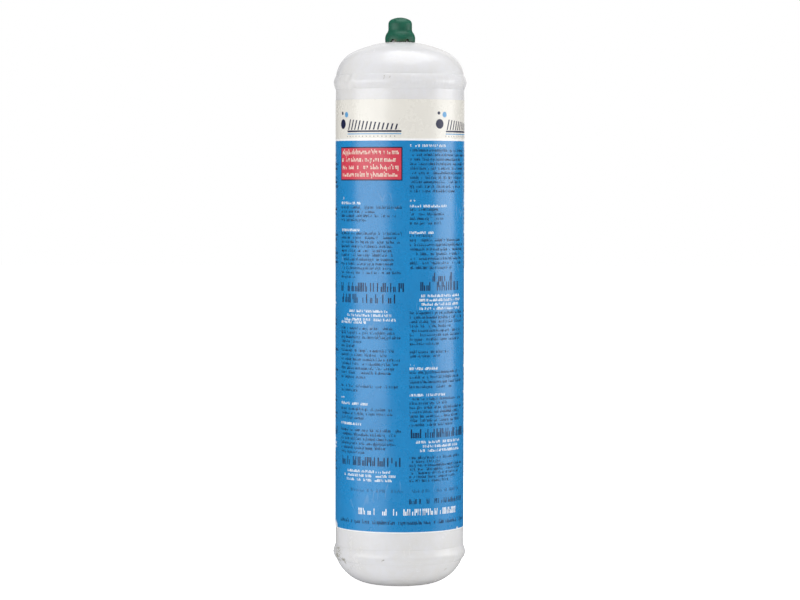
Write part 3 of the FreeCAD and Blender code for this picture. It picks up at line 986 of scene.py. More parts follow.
def buildBarTree():
    inputs = {
        "Bar Height": 0.0012, "Group Pitch": 0.0012, "Bar Width": 0.0002, "Gap Share": 0.14,
        "Tall Share": 0.2, "Ink Thickness": (inkHeight + inkRoot) * mm, "Surface Radius": filmRadius * mm,
        "Ink Lift": 0.0,
    }
    inputs = {name: ("Float", value) for name, value in inputs.items()}
    inputs["Seed"] = ("Int", 1)
    inputs["Ink"] = ("Material", None)
    tree, given, result = newGeometryTree("barRows", inputs)
    do = calculator(tree)
    rows = addNode(tree, "GeometryNodeMeshToCurve", {0: given["Geometry"]}).outputs[0]
    places = addNode(
        tree, "GeometryNodeCurveToPoints", {"Curve": rows, "Length": given["Group Pitch"]}, mode="LENGTH",
    ).outputs["Points"]

    def chance(share, offset):
        sockets = {"Probability": share, "Seed": do("ADD", given["Seed"], float(offset))}
        node = addNode(tree, "FunctionNodeRandomValue", sockets, data_type="BOOLEAN")
        return [s for s in node.outputs if s.type == "BOOLEAN"][0]

    grouped = addNode(
        tree, "GeometryNodeDeleteGeometry",
        {"Geometry": places, "Selection": chance(given["Gap Share"], 0)}, domain="POINT",
    ).outputs[0]
    height, width = given["Bar Height"], given["Bar Width"]
    step = do("DIVIDE", given["Group Pitch"], 3.0)
    back = do("MULTIPLY", step, -1.0)
    half = do("MULTIPLY", height, 0.5)
    short = do("MULTIPLY", height, 0.6)
    low = do("MULTIPLY", height, 0.3)
    high = do("MULTIPLY", height, 0.7)
    # each bar: height, sideways place, centre's height, how often it is drawn
    bars = [
        (height, back, half, 0.55), (short, back, low, 0.55),
        (short, 0.0, high, 0.55), (short, 0.0, low, 0.70),
        (height, step, half, 0.50), (short, step, low, 0.50),
        (half, back, do("MULTIPLY", height, 1.2), given["Tall Share"]),
        (half, step, do("MULTIPLY", height, -0.2), do("MULTIPLY", given["Tall Share"], 0.4)),
    ]
    widths = addNode(tree, "FunctionNodeRandomValue", {"Seed": given["Seed"]}, data_type="FLOAT")
    ends = [s for s in widths.inputs if s.type == "VALUE" and s.name in ("Min", "Max")]
    for socket, value in zip(ends, barSpread):
        socket.default_value = value
    scale = joinVector(tree, [s for s in widths.outputs if s.type == "VALUE"][0], 1.0, 1.0)
    everything = tree.nodes.new("GeometryNodeJoinGeometry")
    for number, (up, sideways, centre, share) in enumerate(bars):
        size = joinVector(tree, width, given["Ink Thickness"], up)
        block = addNode(tree, "GeometryNodeMeshCube", {"Size": size}).outputs["Mesh"]
        shift = joinVector(tree, sideways, 0.0, centre)
        block = addNode(tree, "GeometryNodeTransform", {"Geometry": block, "Translation": shift}).outputs[0]
        placed = addNode(
            tree, "GeometryNodeInstanceOnPoints",
            {"Points": grouped, "Selection": chance(share, 11 + number), "Instance": block, "Scale": scale},
        ).outputs[0]
        tree.links.new(placed, everything.inputs[0])
    real = addNode(tree, "GeometryNodeRealizeInstances", {"Geometry": everything.outputs[0]}).outputs[0]
    # flat rows, X along the line and Z up, are bent round the tube
    part = placeOf(tree)
    turn = do("DIVIDE", part["X"], given["Surface Radius"])
    radius = do("SUBTRACT", do("ADD", given["Surface Radius"], given["Ink Lift"]), part["Y"])
    bent = moveTo(tree, real, roundTube(tree, radius, turn, part["Z"]))
    finishTree(tree, bent, given["Ink"], result, False)
    return tree


barTree = buildBarTree()
printing = random.Random(20)

# each block: kind of bar, height of its first row in mm, number of rows, distance between rows,
# and for headings how much of the column each row fills
columnWithPanel = [
    ("tiny", 210.6, 1, 0), ("header", 208.1, 1, 0), ("body", 205.7, 4, 2.27), ("header", 193.6, 1, 0),
    ("body", 191.8, 11, 2.34), ("heading", 163.0, 2, 6.1, (0.98, 0.96)), ("bold", 150.2, 3, 2.3),
    ("header", 144.0, 1, 0),
    ("body", 140.7, 12, 2.39), ("body", 109.6, 2, 2.4), ("tiny", 103.1, 1, 0), ("header", 100.1, 1, 0),
    ("body", 97.2, 3, 2.4), ("header", 89.2, 1, 0), ("body", 85.9, 6, 2.4), ("heading", 69.3, 1, 0, (0.9,)),
    ("bold", 63.9, 3, 2.3),
]
columnOfText = [
    ("header", 238.9, 1, 0), ("body", 236.3, 10, 2.42), ("tiny", 209.5, 1, 0), ("header", 206.6, 1, 0),
    ("body", 204.7, 4, 2.47), ("header", 192.4, 1, 0), ("body", 190.7, 8, 2.46),
    ("heading", 168.5, 2, 4.9, (0.3, 0.66)),
    ("bold", 158.5, 4, 2.27), ("body", 149.3, 8, 2.37), ("body", 128.4, 2, 2.2), ("tiny", 121.4, 1, 0),
    ("header", 119.5, 1, 0), ("body", 117.4, 4, 2.6), ("header", 105.3, 1, 0), ("body", 103.1, 7, 2.32),
    ("heading", 84.6, 1, 0, (0.92,)), ("bold", 80.0, 3, 2.3), ("body", 71.6, 7, 2.06),
]
columnWidth = 64.5
columns = {
    # five columns 72 degrees apart: first angle, width, what it holds; the one at the lap is narrower
    "front": [(-62.6, columnWidth, columnWithPanel), (9.6, columnWidth, columnOfText)],
    "back": [
        (-134.6, columnWidth - 2, columnOfText), (81.6, columnWidth, columnOfText),
        (153.6, 41.0, columnOfText),
    ],
}
rowFills = {
    # least and most of the column's width that a row fills, and how often a row is a full one
    "full": (0.84, 1.0), "ragged": (0.35, 0.8), "bold": (0.55, 0.85), "header": (0.3, 0.62), "tiny": 0.05,
    "fullChance": 0.72,
}
darkKinds = ("body", "heading")


def arcAt(angle):
    return math.radians(angle) * filmRadius * mm


def fillOf(kind, number, count, fills):
    # share of the column's width that this row fills
    often = printing.random() < rowFills["fullChance"]
    fill = printing.uniform(*rowFills["full" if often else "ragged"])
    if kind == "heading":
        return fills[0][number]
    if kind in ("bold", "header"):
        return printing.uniform(*rowFills[kind])
    if kind == "tiny":
        return rowFills["tiny"]
    return printing.uniform(*rowFills["ragged"]) if number == count - 1 else fill


def collectRows(layout):
    # rows of every column, sorted by kind of bar, as (start, end, height) in flat metres
    rows = {}
    for start, width, blocks in layout:
        for kind, top, count, apart, *fills in blocks:
            for i in range(count):
                fill = fillOf(kind, i, count, fills)
                left = (1 - fill) / 2 if kind in ("heading", "bold") else 0.0
                low = (top - apart * i - barKinds[kind][0] / 2) * mm
                first, last = start + width * left, start + width * (left + fill)
                rows.setdefault(kind, []).append((arcAt(first), arcAt(last), low))
    return rows


def rowsMesh(name, rows):
    mesh = bpy.data.meshes.new(name)
    points, lines = [], []
    for first, last, height in rows:
        lines.append((len(points), len(points) + 1))
        points += [(first, 0, height), (last, 0, height)]
    mesh.from_pydata(points, lines, [])
    return mesh


def printRows(name, kind, rows, ink, seed, lift=0.0):
    height, pitch, barWidth, gaps, tall = barKinds[kind]
    return runTree(name, rowsMesh(name + "Rows", rows), barTree, {
        "Bar Height": height * mm, "Group Pitch": pitch * mm, "Bar Width": barWidth * mm,
        "Gap Share": gaps, "Tall Share": tall, "Seed": seed, "Ink": ink,
        "Ink Lift": ((inkHeight - inkRoot) / 2 + lift) * mm,
    })


def joinPieces(pieces, name):
    # one plain mesh from several of the same finish
    bm = bmesh.new()
    for piece in pieces:
        bm.from_mesh(piece.data)
    finish = pieces[0].data.materials[0]
    for piece in pieces:
        old = piece.data
        bpy.data.objects.remove(piece)
        bpy.data.meshes.remove(old)
    mesh = bpy.data.meshes.new(name)
    bm.to_mesh(mesh)
    bm.free()
    useOneFinish(mesh, finish)
    joined = bpy.data.objects.new(name, mesh)
    bpy.context.scene.collection.objects.link(joined)
    return joined


def printColumns():
    for side, layout in columns.items():
        rows = collectRows(layout)
        dark, light = [], []
        for number, kind in enumerate(sorted(rows)):
            isDark = kind in darkKinds
            made = printRows(f"{side}{kind}", kind, rows[kind], navyInk if isDark else whiteInk, 31 + number)
            (dark if isDark else light).append(made)
        standFor(joinPieces(dark, f"{side}TextNavy"), "cylinder", "label_print")
        standFor(joinPieces(light, f"{side}TextWhite"), "cylinder", "label_print")


footRows = [
    # kind, height, first and last angle, ink
    ("stamp", 53.7, -47.0, 70.0, "stamp"),
    ("footBold", 48.1, 10.0, 70.0, "navy"),
    ("footLarge", 42.4, -37.0, 58.0, "white"),
    ("footLine", 36.5, -64.0, 77.0, "navy"),
]
footRepeat = 176    # degrees to the second print
footEnd = 246       # and where that one stops


def printFoot():
    # the line of data round the foot, printed twice round the tube
    inks = {"stamp": stampInk, "navy": navyInk, "white": whiteInk}
    for inkName, ink in inks.items():
        made = []
        for number, (kind, height, first, last, use) in enumerate(footRows):
            if use != inkName:
                continue
            low = (height - barKinds[kind][0] / 2) * mm
            rows = [(arcAt(first), arcAt(last), low)]
            if kind != "stamp":
                rows.append((arcAt(first + footRepeat), arcAt(min(last + footRepeat, footEnd)), low))
            made.append(printRows(f"foot{kind}", kind, rows, ink, 71 + number))
        standFor(joinPieces(made, f"footPrint{inkName.capitalize()}"), "cylinder", "label_print")


def bendBlock(bm, first, last, low, high, root, top, steps):
    # flat plate bent round the tube: angles in degrees, the rest in mm
    rings = []
    for i in range(steps + 1):
        turn = math.radians(first + (last - first) * i / steps)
        section = [(root, low), (top, low), (top, high), (root, high)]
        rings.append([bm.verts.new(atTurn(turn, filmRadius + lift, height)) for lift, height in section])
    stitch(bm, rings, False)
    bm.faces.new(rings[0])
    bm.faces.new(rings[-1])


panel = {
    "first": -64.6, "last": 2.2, "low": 220.2, "high": 238.2, "border": 0.6, "rows": 4,
    "rowPitch": 4.0, "inset": (3.5, 5.5), "layer": 0.03, "steps": 48,
}


def printPanel():
    first, last, low, high = panel["first"], panel["last"], panel["low"], panel["high"]
    border, steps = panel["border"], panel["steps"]
    turn = math.degrees(border / filmRadius)
    bm = bmesh.new()
    bendBlock(bm, first, last, low, high, -inkRoot, panel["layer"], steps)
    standFor(pieceFrom(bm, "panelBorder", navyInk), "cylinder", "label_print")
    bm = bmesh.new()
    bendBlock(
        bm, first + turn, last - turn, low + border, high - border, -inkRoot, 2 * panel["layer"], steps,
    )
    standFor(pieceFrom(bm, "panelRed", redInk), "cylinder", "label_print")
    middle = (low + high) / 2
    rows = []
    for i in range(panel["rows"]):
        height = middle + ((panel["rows"] - 1) / 2 - i) * panel["rowPitch"] - barKinds["panel"][0] / 2
        inset = printing.uniform(*panel["inset"])
        rows.append((arcAt(first + inset), arcAt(last - inset), height * mm))
    text = printRows("panelText", "panel", rows, paleInk, 91, 2 * panel["layer"])
    standFor(text, "cylinder", "label_print")


motif = {
    # plain decoration, repeated round the cream band: discs, slanted dashes, two stripes and dots
    "count": 3, "first": -66.5, "apart": 98.0,
    "discs": [(3.6, 250.6, 2.6), (7.0, 255.6, 1.5), (3.0, 256.4, 0.9)],
    "dashStart": 9.0, "dashes": 13, "dashPitch": 2.45, "dashFoot": 247.4, "dashLean": 1.6,
    "dashLine": 0.85,
    "dashTall": 5.6, "dashShrink": 0.45,
    "stripeStart": 8.0, "stripeEnd": 41.5, "stripeHeight": 246.6, "stripeLine": 0.9,
    "lowerHeight": 245.2, "lowerLine": 0.5, "stripeSteps": 40,
    "dotHeight": 243.9, "dots": 14, "dotPitch": 2.3, "dotRadius": 0.3,
}


def bendOutline(bm, corners):
    # printed patch with this flat outline of (arc, height) in mm, bent round the tube
    levels = []
    for layer in (-inkRoot, inkHeight):
        radius = filmRadius + layer
        levels.append([bm.verts.new(atTurn(arc / filmRadius, radius, height)) for arc, height in corners])
        bm.faces.new(levels[-1])
    low, high = levels
    for i in range(len(corners)):
        j = (i + 1) % len(corners)
        bm.faces.new([low[i], low[j], high[j], high[i]])


def bendDisc(bm, along, height, radius, rings=3, sides=32):
    # printed disc in rings, so that it follows the tube
    levels = []
    for layer in (-inkRoot, inkHeight):
        grid = []
        for k in range(rings + 1):
            ring = []
            for i in range(sides if k else 1):
                turn = wholeTurn * i / sides
                arc = along + radius * k / rings * math.cos(turn)
                z = height + radius * k / rings * math.sin(turn)
                ring.append(bm.verts.new(atTurn(arc / filmRadius, filmRadius + layer, z)))
            grid.append(ring)
        levels.append(grid)
    low, high = levels[0][rings], levels[1][rings]
    for i in range(sides):
        j = (i + 1) % sides
        for grid in levels:
            bm.faces.new([grid[0][0], grid[1][i], grid[1][j]])
            for k in range(1, rings):
                bm.faces.new([grid[k][i], grid[k + 1][i], grid[k + 1][j], grid[k][j]])
        bm.faces.new([low[i], low[j], high[j], high[i]])


def printStripe(bm, first, last, height, line):
    # stripe between two places along the label, in mm
    turns = [math.degrees(along / filmRadius) for along in (first, last)]
    low, high = height - line / 2, height + line / 2
    bendBlock(bm, *turns, low, high, -inkRoot, inkHeight, motif["stripeSteps"])


def printMotif():
    navy, sky, grey = bmesh.new(), bmesh.new(), bmesh.new()
    for repeat in range(motif["count"]):
        start = math.radians(motif["first"] + motif["apart"] * repeat) * filmRadius
        for number, (along, height, radius) in enumerate(motif["discs"]):
            bendDisc(sky if number == 1 else navy, start + along, height, radius)
        for i in range(motif["dashes"]):
            share = i / (motif["dashes"] - 1)
            foot = start + motif["dashStart"] + motif["dashPitch"] * i
            tall = motif["dashTall"] * (1 - motif["dashShrink"] * share)
            lean, half = motif["dashLean"] * tall / motif["dashTall"], motif["dashLine"] / 2
            low, high, head = motif["dashFoot"], motif["dashFoot"] + tall, foot + lean
            corners = [(foot - half, low), (foot + half, low), (head + half, high), (head - half, high)]
            bendOutline(navy, corners)
        first, last = start + motif["stripeStart"], start + motif["stripeEnd"]
        printStripe(navy, first, last, motif["stripeHeight"], motif["stripeLine"])
        printStripe(sky, first, last, motif["lowerHeight"], motif["lowerLine"])
        for i in range(motif["dots"]):
            bendDisc(grey, first + motif["dotPitch"] * i, motif["dotHeight"], motif["dotRadius"], 1, 12)
    prints = [(navy, "motifNavy", navyInk), (sky, "motifSky", skyInk), (grey, "motifDots", greyInk)]
    for bm, name, ink in prints:
        standFor(pieceFrom(bm, name, ink), "cylinder", "label_print")


printColumns()
printFoot()
printPanel()
printMotif()
print("label printed")


# neck: boss welded in the top head, copper washer on it

neck = {
    "spigot": 6.4, "flange": 9.5, "barrel": 7.5, "bottom": 280.0, "flangeFoot": 289.8, "bore": 5.03,
    "top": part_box("neck_boss")[1].z / mm, "chamfer": 0.6, "topRound": 0.25, "boreChamfer": 0.2, "play": 0.02,
}
neckWeld = {
    "toe": 7.15, "root": 295.0, "top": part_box("neck_weld")[1].z / mm, "toeLift": 0.12,
    # two waves round the toe, each with its depth in mm and its number round
    "waves": ((0.035, 34), (0.02, 5)), "waveMean": 0.035,
}
washer = {"bore": 5.05, "edge": 6.2, "round": 0.08}


def makeBoss():
    seat = vessel["crownRadius"] - vessel["wall"] - neck["play"]
    angles = [math.degrees(math.acos(neck[part] / seat)) for part in ("flange", "spigot")]
    top, soft, corner = neck["top"], neck["topRound"], neck["boreChamfer"]
    outline = [
        (neck["bore"], neck["bottom"]), (neck["barrel"] - neck["chamfer"], neck["bottom"]),
        (neck["barrel"], neck["bottom"] + neck["chamfer"]), (neck["barrel"], neck["flangeFoot"]),
        (neck["flange"], neck["flangeFoot"]),
    ]
    outline += arcPoints(0, crownCentre, seat, *angles, 6)
    outline += arcPoints(neck["spigot"] - soft, top - soft, soft, 0, 90, 4)
    outline += [(neck["bore"] + corner, top), (neck["bore"], top - corner)]
    standFor(turnedPiece("neckBoss", outline, whiteEnamel, 144), "cylinder", "painted_steel", "neck_boss")


def makeNeckWeld():
    # fillet of weld with a wavy toe
    edge, root, top, inside = neckWeld["toe"], neckWeld["root"], neckWeld["top"], neck["spigot"]
    toe = crownCentre + math.sqrt(vessel["crownRadius"] ** 2 - edge ** 2) + neckWeld["toeLift"]
    outline = [
        (inside, root), (edge, root), (edge, toe - 0.06), (edge - 0.12, toe + 0.08),
        (inside + 0.36, top - 0.16), (inside + 0.12, top - 0.03), (inside, top),
    ]
    bm = bmesh.new()
    turnedShell(bm, outline, 240)
    for vert in bm.verts:
        turn = math.atan2(vert.co.y, vert.co.x)
        if vert.co.z > (toe - 0.07) * mm:
            wave = sum(depth * math.sin(number * turn) for depth, number in neckWeld["waves"])
            vert.co.z -= (neckWeld["waveMean"] + wave) * mm
    standFor(pieceFrom(bm, "neckWeld", weldEnamel, 50), "cylinder", "painted_weld", "neck_weld")


def makeWasher():
    low, high = [corner.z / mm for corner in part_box("boss_gasket")]
    bore, edge, soft = washer["bore"], washer["edge"], washer["round"]
    outline = [
        (bore, low), (edge - soft, low), (edge, low + soft), (edge, high - soft), (edge - soft, high),
        (bore, high),
    ]
    piece = turnedPiece("copperWasher", outline, washerCopper, 144)
    standFor(piece, "cylinder", "copper_washer", "boss_gasket")


makeBoss()
makeNeckWeld()
makeWasher()
print("neck welded")


# valve body: hexagon, relief groove, threaded stub and open mouth

valve = {
    "bottom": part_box("valve_body")[0].z / mm, "top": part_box("valve_body")[1].z / mm,
    "hexFoot": 296.9, "hexTop": 298.8, "hexBevel": 0.45, "bevelSteps": 8, "flats": 11.0, "relief": 4.35,
    "grooveStep": 0.1, "topChamfer": 0.12, "shank": 5.0,
    "mouth": 3.2, "mouthFloor": 302.4, "mouthChamfer": 0.35, "throat": 1.5, "chamber": 3.2,
    "chamberTop": 297.9, "lip": 1.9, "lipFoot": 297.46, "plugBore": 3.45, "plugShoulder": 282.5,
}
thread = {
    "start": 299.3, "top": 305.9, "radius": 5.0, "pitch": 1.0, "depth": 0.58, "rootSink": 0.08,
    "crestFlat": 1.22, "fadeTurns": 0.5, "steps": 480,
}
mouthSeal = {"bore": 1.7, "edge": 3.18, "round": 0.12}
pushPin = {"radius": 0.9, "round": 0.3}


def makeValveBody():
    core, flats, top = thread["radius"] - thread["depth"], valve["flats"], valve["top"]
    corner, bevel, steps = flats / math.sqrt(3), valve["hexBevel"], valve["bevelSteps"]
    mouth, chamfer = valve["mouth"], valve["mouthChamfer"]
    outline = [(valve["shank"], valve["bottom"]), (valve["shank"], valve["hexFoot"])]
    outline += [(corner, valve["hexFoot"], flats), (corner, valve["hexTop"] - bevel, flats)]
    for i in range(1, steps + 1):
        share = i / steps
        cone = corner + (flats / 2 - corner) * share
        outline.append((cone, valve["hexTop"] - bevel * (1 - share), flats))
    outline += [
        (valve["relief"], valve["hexTop"]), (valve["relief"], thread["start"] - valve["grooveStep"]),
        (core, thread["start"]), (core, top - valve["topChamfer"]), (core - valve["topChamfer"], top),
        (mouth + chamfer, top), (mouth, top - chamfer), (mouth, valve["mouthFloor"]),
        (valve["throat"], valve["mouthFloor"]), (valve["throat"], valve["lipFoot"]),
        (valve["lip"], valve["lipFoot"]), (valve["lip"], valve["chamberTop"]),
        (valve["chamber"], valve["chamberTop"]), (valve["chamber"], valve["plugShoulder"]),
        (valve["plugBore"], valve["plugShoulder"]), (valve["plugBore"], valve["bottom"]),
    ]
    piece = turnedPiece("valveCore", outline, valveBrass, 240, 24)
    standFor(piece, "cylinder", "valve_brass", "valve_body")


def buildThreadTree():
    # rows of the ridge follow the helix, so crest and root stay sharp; the last rows run back under it
    tree, given, result = newGeometryTree("outletThread", {
        "Start Height": ("Float", thread["start"] * mm), "Turns": ("Float", 6.0),
        "Pitch": ("Float", thread["pitch"] * mm), "Major Radius": ("Float", thread["radius"] * mm),
        "Depth": ("Float", thread["depth"] * mm), "Root Sink": ("Float", thread["rootSink"] * mm),
        "Steps Round": ("Int", thread["steps"]), "Finish": ("Material", None),
    })
    do = calculator(tree)
    lastRow = 8         # seven rows over the ridge, two under it
    grid = addNode(
        tree, "GeometryNodeMeshGrid",
        {"Size X": 1.0, "Size Y": 1.0, "Vertices X": given["Steps Round"], "Vertices Y": lastRow + 1},
    ).outputs["Mesh"]
    part = placeOf(tree)
    along = do("ADD", part["X"], 0.5)
    turned = do("MULTIPLY", along, given["Turns"])
    row = do("MULTIPLY", do("ADD", part["Y"], 0.5), float(lastRow))
    under = do("GREATER_THAN", row, lastRow - 1.5)
    last = do("GREATER_THAN", row, lastRow - 0.5)
    above = do("SUBTRACT", 1.0, under)
    across = do("SUBTRACT", do("DIVIDE", row, 3.0), 1.0)    # -1 at the lower root, +1 at the upper
    across = do("SUBTRACT", do("MULTIPLY", across, above), last)
    # the ridge rises over the first part of a turn and fades over the last
    fade = do("DIVIDE", given["Turns"], thread["fadeTurns"])
    fadeIn = do("MINIMUM", 1.0, do("MULTIPLY", along, fade))
    fadeOut = do("MINIMUM", 1.0, do("MULTIPLY", do("SUBTRACT", 1.0, along), fade))
    full = do("MULTIPLY", fadeIn, fadeOut)
    ridge = do("MULTIPLY", do("SUBTRACT", 1.0, do("ABSOLUTE", across)), thread["crestFlat"])
    ridge = do("MULTIPLY", do("MINIMUM", 1.0, ridge), above, full, given["Depth"])
    # outermost rows and both ends sink into the core, and the rows that close the section lie deeper
    edge = do("GREATER_THAN", do("ABSOLUTE", across), 0.99)
    deep = do("MULTIPLY", do("SUBTRACT", under, last), 2.0)
    sunk = do("ADD", do("MAXIMUM", edge, do("SUBTRACT", 1.0, full)), deep)
    root = do("SUBTRACT", given["Major Radius"], given["Depth"])
    radius = do("SUBTRACT", do("ADD", root, ridge), do("MULTIPLY", sunk, given["Root Sink"]))
    start = do("ADD", given["Start Height"], do("MULTIPLY", given["Pitch"], 0.5))
    height = do("ADD", start, do("MULTIPLY", turned, given["Pitch"]))
    height = do("MULTIPLY_ADD", do("MULTIPLY", across, 0.5), given["Pitch"], height)
    turn = do("MULTIPLY", turned, wholeTurn)
    x, y = do("MULTIPLY", radius, do("COSINE", turn)), do("MULTIPLY", radius, do("SINE", turn))
    shaped = moveTo(tree, grid, joinVector(tree, x, y, height))
    closed = addNode(tree, "GeometryNodeMergeByDistance", {"Geometry": shaped, "Distance": 1e-7}).outputs[0]
    finishTree(tree, closed, given["Finish"], result)
    return tree


def makeThread():
    turns = (thread["top"] - thread["start"] - thread["pitch"]) / thread["pitch"]
    piece = runTree(
        "outletThread", bpy.data.meshes.new("threadStart"), buildThreadTree(),
        {"Turns": turns, "Finish": valveBrass},
    )
    outwardFaces(piece, True)
    standFor(piece, "cylinder", "valve_brass")


def makeMouthSeal():
    low, high = [corner.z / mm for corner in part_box("outlet_seal")]
    bore, edge, soft = mouthSeal["bore"], mouthSeal["edge"], mouthSeal["round"]
    outline = [
        (bore, low), (edge, low), (edge, high - soft), (edge - soft, high), (bore + soft, high),
        (bore, high - soft),
    ]
    standFor(turnedPiece("mouthSeal", outline, sealPolymer, 96), "cylinder", "seal_polymer", "outlet_seal")


def makePin():
    low, high = [corner.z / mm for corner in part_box("valve_pin")]
    radius, soft = pushPin["radius"], pushPin["round"]
    outline = [(0, low), (radius, low)] + arcPoints(radius - soft, high - soft, soft, 0, 90, 6) + [(0, high)]
    standFor(turnedPiece("pushPin", outline, pinSteel, 64), "valve_core", "pin_steel", "valve_pin")


# closing spring, which shortens as the valve is pushed open: end coils laid close, built at one fixed length

spring = {
    "meanRadius": 2.3, "wire": 0.5, "turns": 6.0, "closeTurns": 0.8, "closePitch": 2.06,    # in wire radii
    "stepsPerTurn": 40, "wireSides": 16,
}


def buildSpringTree():
    tree, given, result = newGeometryTree("valveSpring", {
        "Foot": ("Float", 0.0), "Length": ("Float", 0.01),
        "Mean Radius": ("Float", spring["meanRadius"] * mm),
        "Wire Radius": ("Float", spring["wire"] / 2 * mm),
        "Turns": ("Float", spring["turns"]), "Close Turns": ("Float", spring["closeTurns"]),
        "Steps": ("Int", int(spring["turns"] * spring["stepsPerTurn"])),
        "Wire Sides": ("Int", spring["wireSides"]), "Finish": ("Material", None),
    })
    do = calculator(tree)
    line = addNode(tree, "GeometryNodeCurvePrimitiveLine", {"Start": (0, 0, 0), "End": (1, 0, 0)}).outputs[0]
    sockets = {"Curve": line, "Count": given["Steps"]}
    line = addNode(tree, "GeometryNodeResampleCurve", sockets, mode="COUNT").outputs[0]
    turned = do("MULTIPLY", placeOf(tree)["X"], given["Turns"])
    pitch = do("MULTIPLY", given["Wire Radius"], spring["closePitch"])
    span = do("SUBTRACT", given["Length"], do("MULTIPLY", given["Wire Radius"], 2.0))
    closeBoth = do("MULTIPLY", given["Close Turns"], 2.0)
    openTurns = do("SUBTRACT", given["Turns"], closeBoth)
    first = do("MINIMUM", turned, given["Close Turns"])
    middle = do("MINIMUM", do("MAXIMUM", do("SUBTRACT", turned, given["Close Turns"]), 0.0), openTurns)
    last = do("MAXIMUM", do("SUBTRACT", turned, do("ADD", given["Close Turns"], openTurns)), 0.0)
    openSpan = do("SUBTRACT", span, do("MULTIPLY", closeBoth, pitch))
    rise = do("DIVIDE", do("MULTIPLY", middle, openSpan), openTurns)
    height = do("ADD", do("MULTIPLY", do("ADD", first, last), pitch), rise)
    height = do("ADD", height, do("ADD", given["Foot"], given["Wire Radius"]))
    turn = do("MULTIPLY", turned, wholeTurn)
    x, y = [do("MULTIPLY", given["Mean Radius"], do(wave, turn)) for wave in ("COSINE", "SINE")]
    helix = moveTo(tree, line, joinVector(tree, x, y, height))
    wire = circleCurve(tree, given["Wire Sides"], given["Wire Radius"])
    sockets = {"Curve": helix, "Profile Curve": wire, "Fill Caps": True}
    swept = addNode(tree, "GeometryNodeCurveToMesh", sockets).outputs[0]
    swept = addNode(tree, "GeometryNodeMergeByDistance", {"Geometry": swept, "Distance": 1e-8}).outputs[0]
    finishTree(tree, swept, given["Finish"], result)
    return tree


def makeSpring():
    low, high = [corner.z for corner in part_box("valve_spring")]
    piece = runTree(
        "closingSpring", bpy.data.meshes.new("springStart"), buildSpringTree(),
        {"Foot": low, "Length": high - low, "Finish": springSteel},
    )
    outwardFaces(piece, True)
    standFor(piece, "cylinder", "spring_steel", "valve_spring")
    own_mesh(piece)


makeValveBody()
makeThread()
makeMouthSeal()
makePin()
makeSpring()
print("valve turned")


# protective cap: skirt with six notches, waisted flare, round crown, ribs inside

cap = {
    "skirt": 8.2, "skirtTop": 297.4, "barrel": 6.45, "lean": 38.0, "convex": 5.2, "shoulder": 2.9,
    "crown": 11.0, "wall": 0.8, "notches": 6, "notchHalf": 0.95, "notchHeight": 1.35, "rimRound": 0.16,
    "sideIn": 0.03, "sideOut": 0.05,                       # how far each side of a notch leans in and out
    "notchColumns": (0.98, 1.0, 0.92, 0.9, 0.85, 0.78),    # extra columns, in mm from a notch's middle
    "ribHalf": 0.6, "ribFoot": 296.9, "ribTop": 300.2, "ribReach": 6.45,
    "ribTurnSoft": 0.012, "ribSoft": 0.25, "insideRise": 0.3, "insideFlare": 0.1,
    "foot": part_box("protective_cap")[0].z / mm, "top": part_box("protective_cap")[1].z / mm, "segments": 360,
}


def capOutline(inset):
    # (r, z) from the top of the skirt's straight part to the axis, moved in by inset
    lean = math.radians(cap["lean"])
    concave = (cap["skirt"] - cap["barrel"]) / (1 - math.cos(lean)) - cap["convex"]
    barrelFoot = cap["skirtTop"] + (cap["convex"] + concave) * math.sin(lean)
    shoulderR = cap["barrel"] - cap["shoulder"]
    crownZ = cap["top"] - cap["crown"]
    shoulderZ = crownZ + math.sqrt((cap["crown"] - cap["shoulder"]) ** 2 - shoulderR ** 2)
    meet = math.degrees(math.atan2(shoulderZ - crownZ, shoulderR))
    foot = (cap["skirt"] - cap["convex"], cap["skirtTop"])
    points = arcPoints(*foot, cap["convex"] - inset, 0, cap["lean"], 12)
    points += arcPoints(cap["barrel"] + concave, barrelFoot, concave + inset, 180 + cap["lean"], 180, 12)[1:]
    shoulder = arcPoints(shoulderR, shoulderZ, cap["shoulder"] - inset, 0, meet, 14)
    start = points[-1]
    points += [(start[0], start[1] + (shoulder[0][1] - start[1]) * k / 4) for k in (1, 2, 3)]
    return points + shoulder + arcPoints(0, crownZ, cap["crown"] - inset, meet, 90, 12)[1:]


def rimHeight(turn):
    # height of the skirt's edge at this angle: notches with upright sides and round tops
    apart = wholeTurn / cap["notches"]
    off = (turn + apart / 2) % apart - apart / 2
    across = abs(off) * cap["skirt"]
    half, straight = cap["notchHalf"], cap["notchHeight"] - cap["notchHalf"]
    if across >= half + cap["sideOut"]:
        return cap["foot"]
    if across > half - cap["sideIn"]:
        return cap["foot"] + straight * (half + cap["sideOut"] - across) / (cap["sideIn"] + cap["sideOut"])
    return cap["foot"] + straight + math.sqrt(max(half ** 2 - across ** 2, 0))


def capAngles():
    # even steps, with extra columns at the upright sides of each notch
    angles = [wholeTurn * i / cap["segments"] for i in range(cap["segments"])]
    for i in range(cap["notches"]):
        middle = wholeTurn * i / cap["notches"]
        for across in cap["notchColumns"]:
            angles += [(middle + side * across / cap["skirt"]) % wholeTurn for side in (-1, 1)]
    return sorted(set(round(a, 6) for a in angles))


def clamped(value):
    return max(0.0, min(1.0, value))


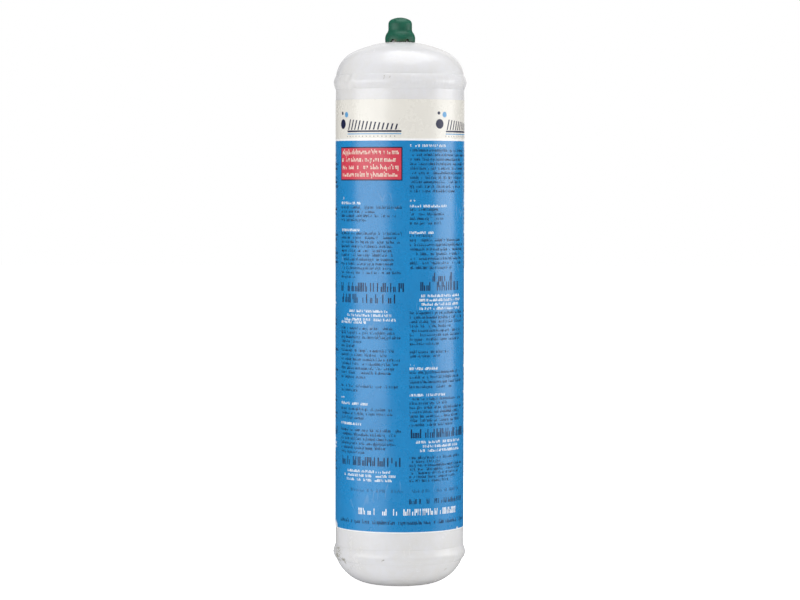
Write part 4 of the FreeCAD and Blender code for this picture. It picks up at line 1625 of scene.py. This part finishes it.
def capSection(turn):
    # (r, z) up the outside of the cap at this angle and down its inside, without the two poles
    rim, soft, skirt = rimHeight(turn), cap["rimRound"], cap["skirt"]
    insideFoot, rise = skirt - cap["wall"], rim + cap["insideRise"]
    outside = [(skirt - soft, rim), (skirt - soft * 0.3, rim + soft * 0.3)]
    outside += [(skirt, rim + soft + (cap["skirtTop"] - rim - soft) * k / 5) for k in range(5)]
    outside += capOutline(0)[:-1]
    inside = [(insideFoot + cap["insideFlare"], rim)]
    inside += [(insideFoot, rise + (cap["skirtTop"] - rise) * k / 4) for k in range(4)]
    inside += capOutline(cap["wall"])[:-1]
    off = abs(turn % (wholeTurn / cap["notches"]) - wholeTurn / cap["notches"] / 2)
    ribSide = cap["ribHalf"] / skirt + cap["ribTurnSoft"] - off
    ribShare = clamped(ribSide / (2 * cap["ribTurnSoft"]))
    ribbed = []
    for r, z in inside:
        tall = clamped((z - cap["ribFoot"]) / cap["ribSoft"]) * clamped((cap["ribTop"] - z) / cap["ribSoft"])
        ribbed.append((min(r, r + (cap["ribReach"] - r) * ribShare * tall), z))
    return outside, ribbed[::-1]


def makeCap():
    bm = bmesh.new()
    crown = bm.verts.new((0, 0, cap["top"] * mm))
    ceiling = bm.verts.new((0, 0, (cap["top"] - cap["wall"]) * mm))
    columns = []
    for turn in capAngles():
        x, y = math.cos(turn), math.sin(turn)
        up, down = [
            [bm.verts.new((r * mm * x, r * mm * y, z * mm)) for r, z in side] for side in capSection(turn)
        ]
        columns.append(up + [crown, ceiling] + down)
    stitch(bm, columns)
    standFor(pieceFrom(bm, "greenCap", capPlastic, 38), "cap", "cap_plastic", "protective_cap")


makeCap()
print("cap moulded")


# nodes that stay as they are, deep inside the valve; the replaced ones are hidden

keptFinishes = {
    "poppet": valveBrass, "poppet_seal": sealRubber, "spring_retainer": valveBrass,
    "inlet_filter": sinteredBronze, "filter_clip": springSteel,
}
for nodeName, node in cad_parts.items():
    node.data.materials.clear()
    node.data.materials.append(keptFinishes.get(nodeName, whiteEnamel))
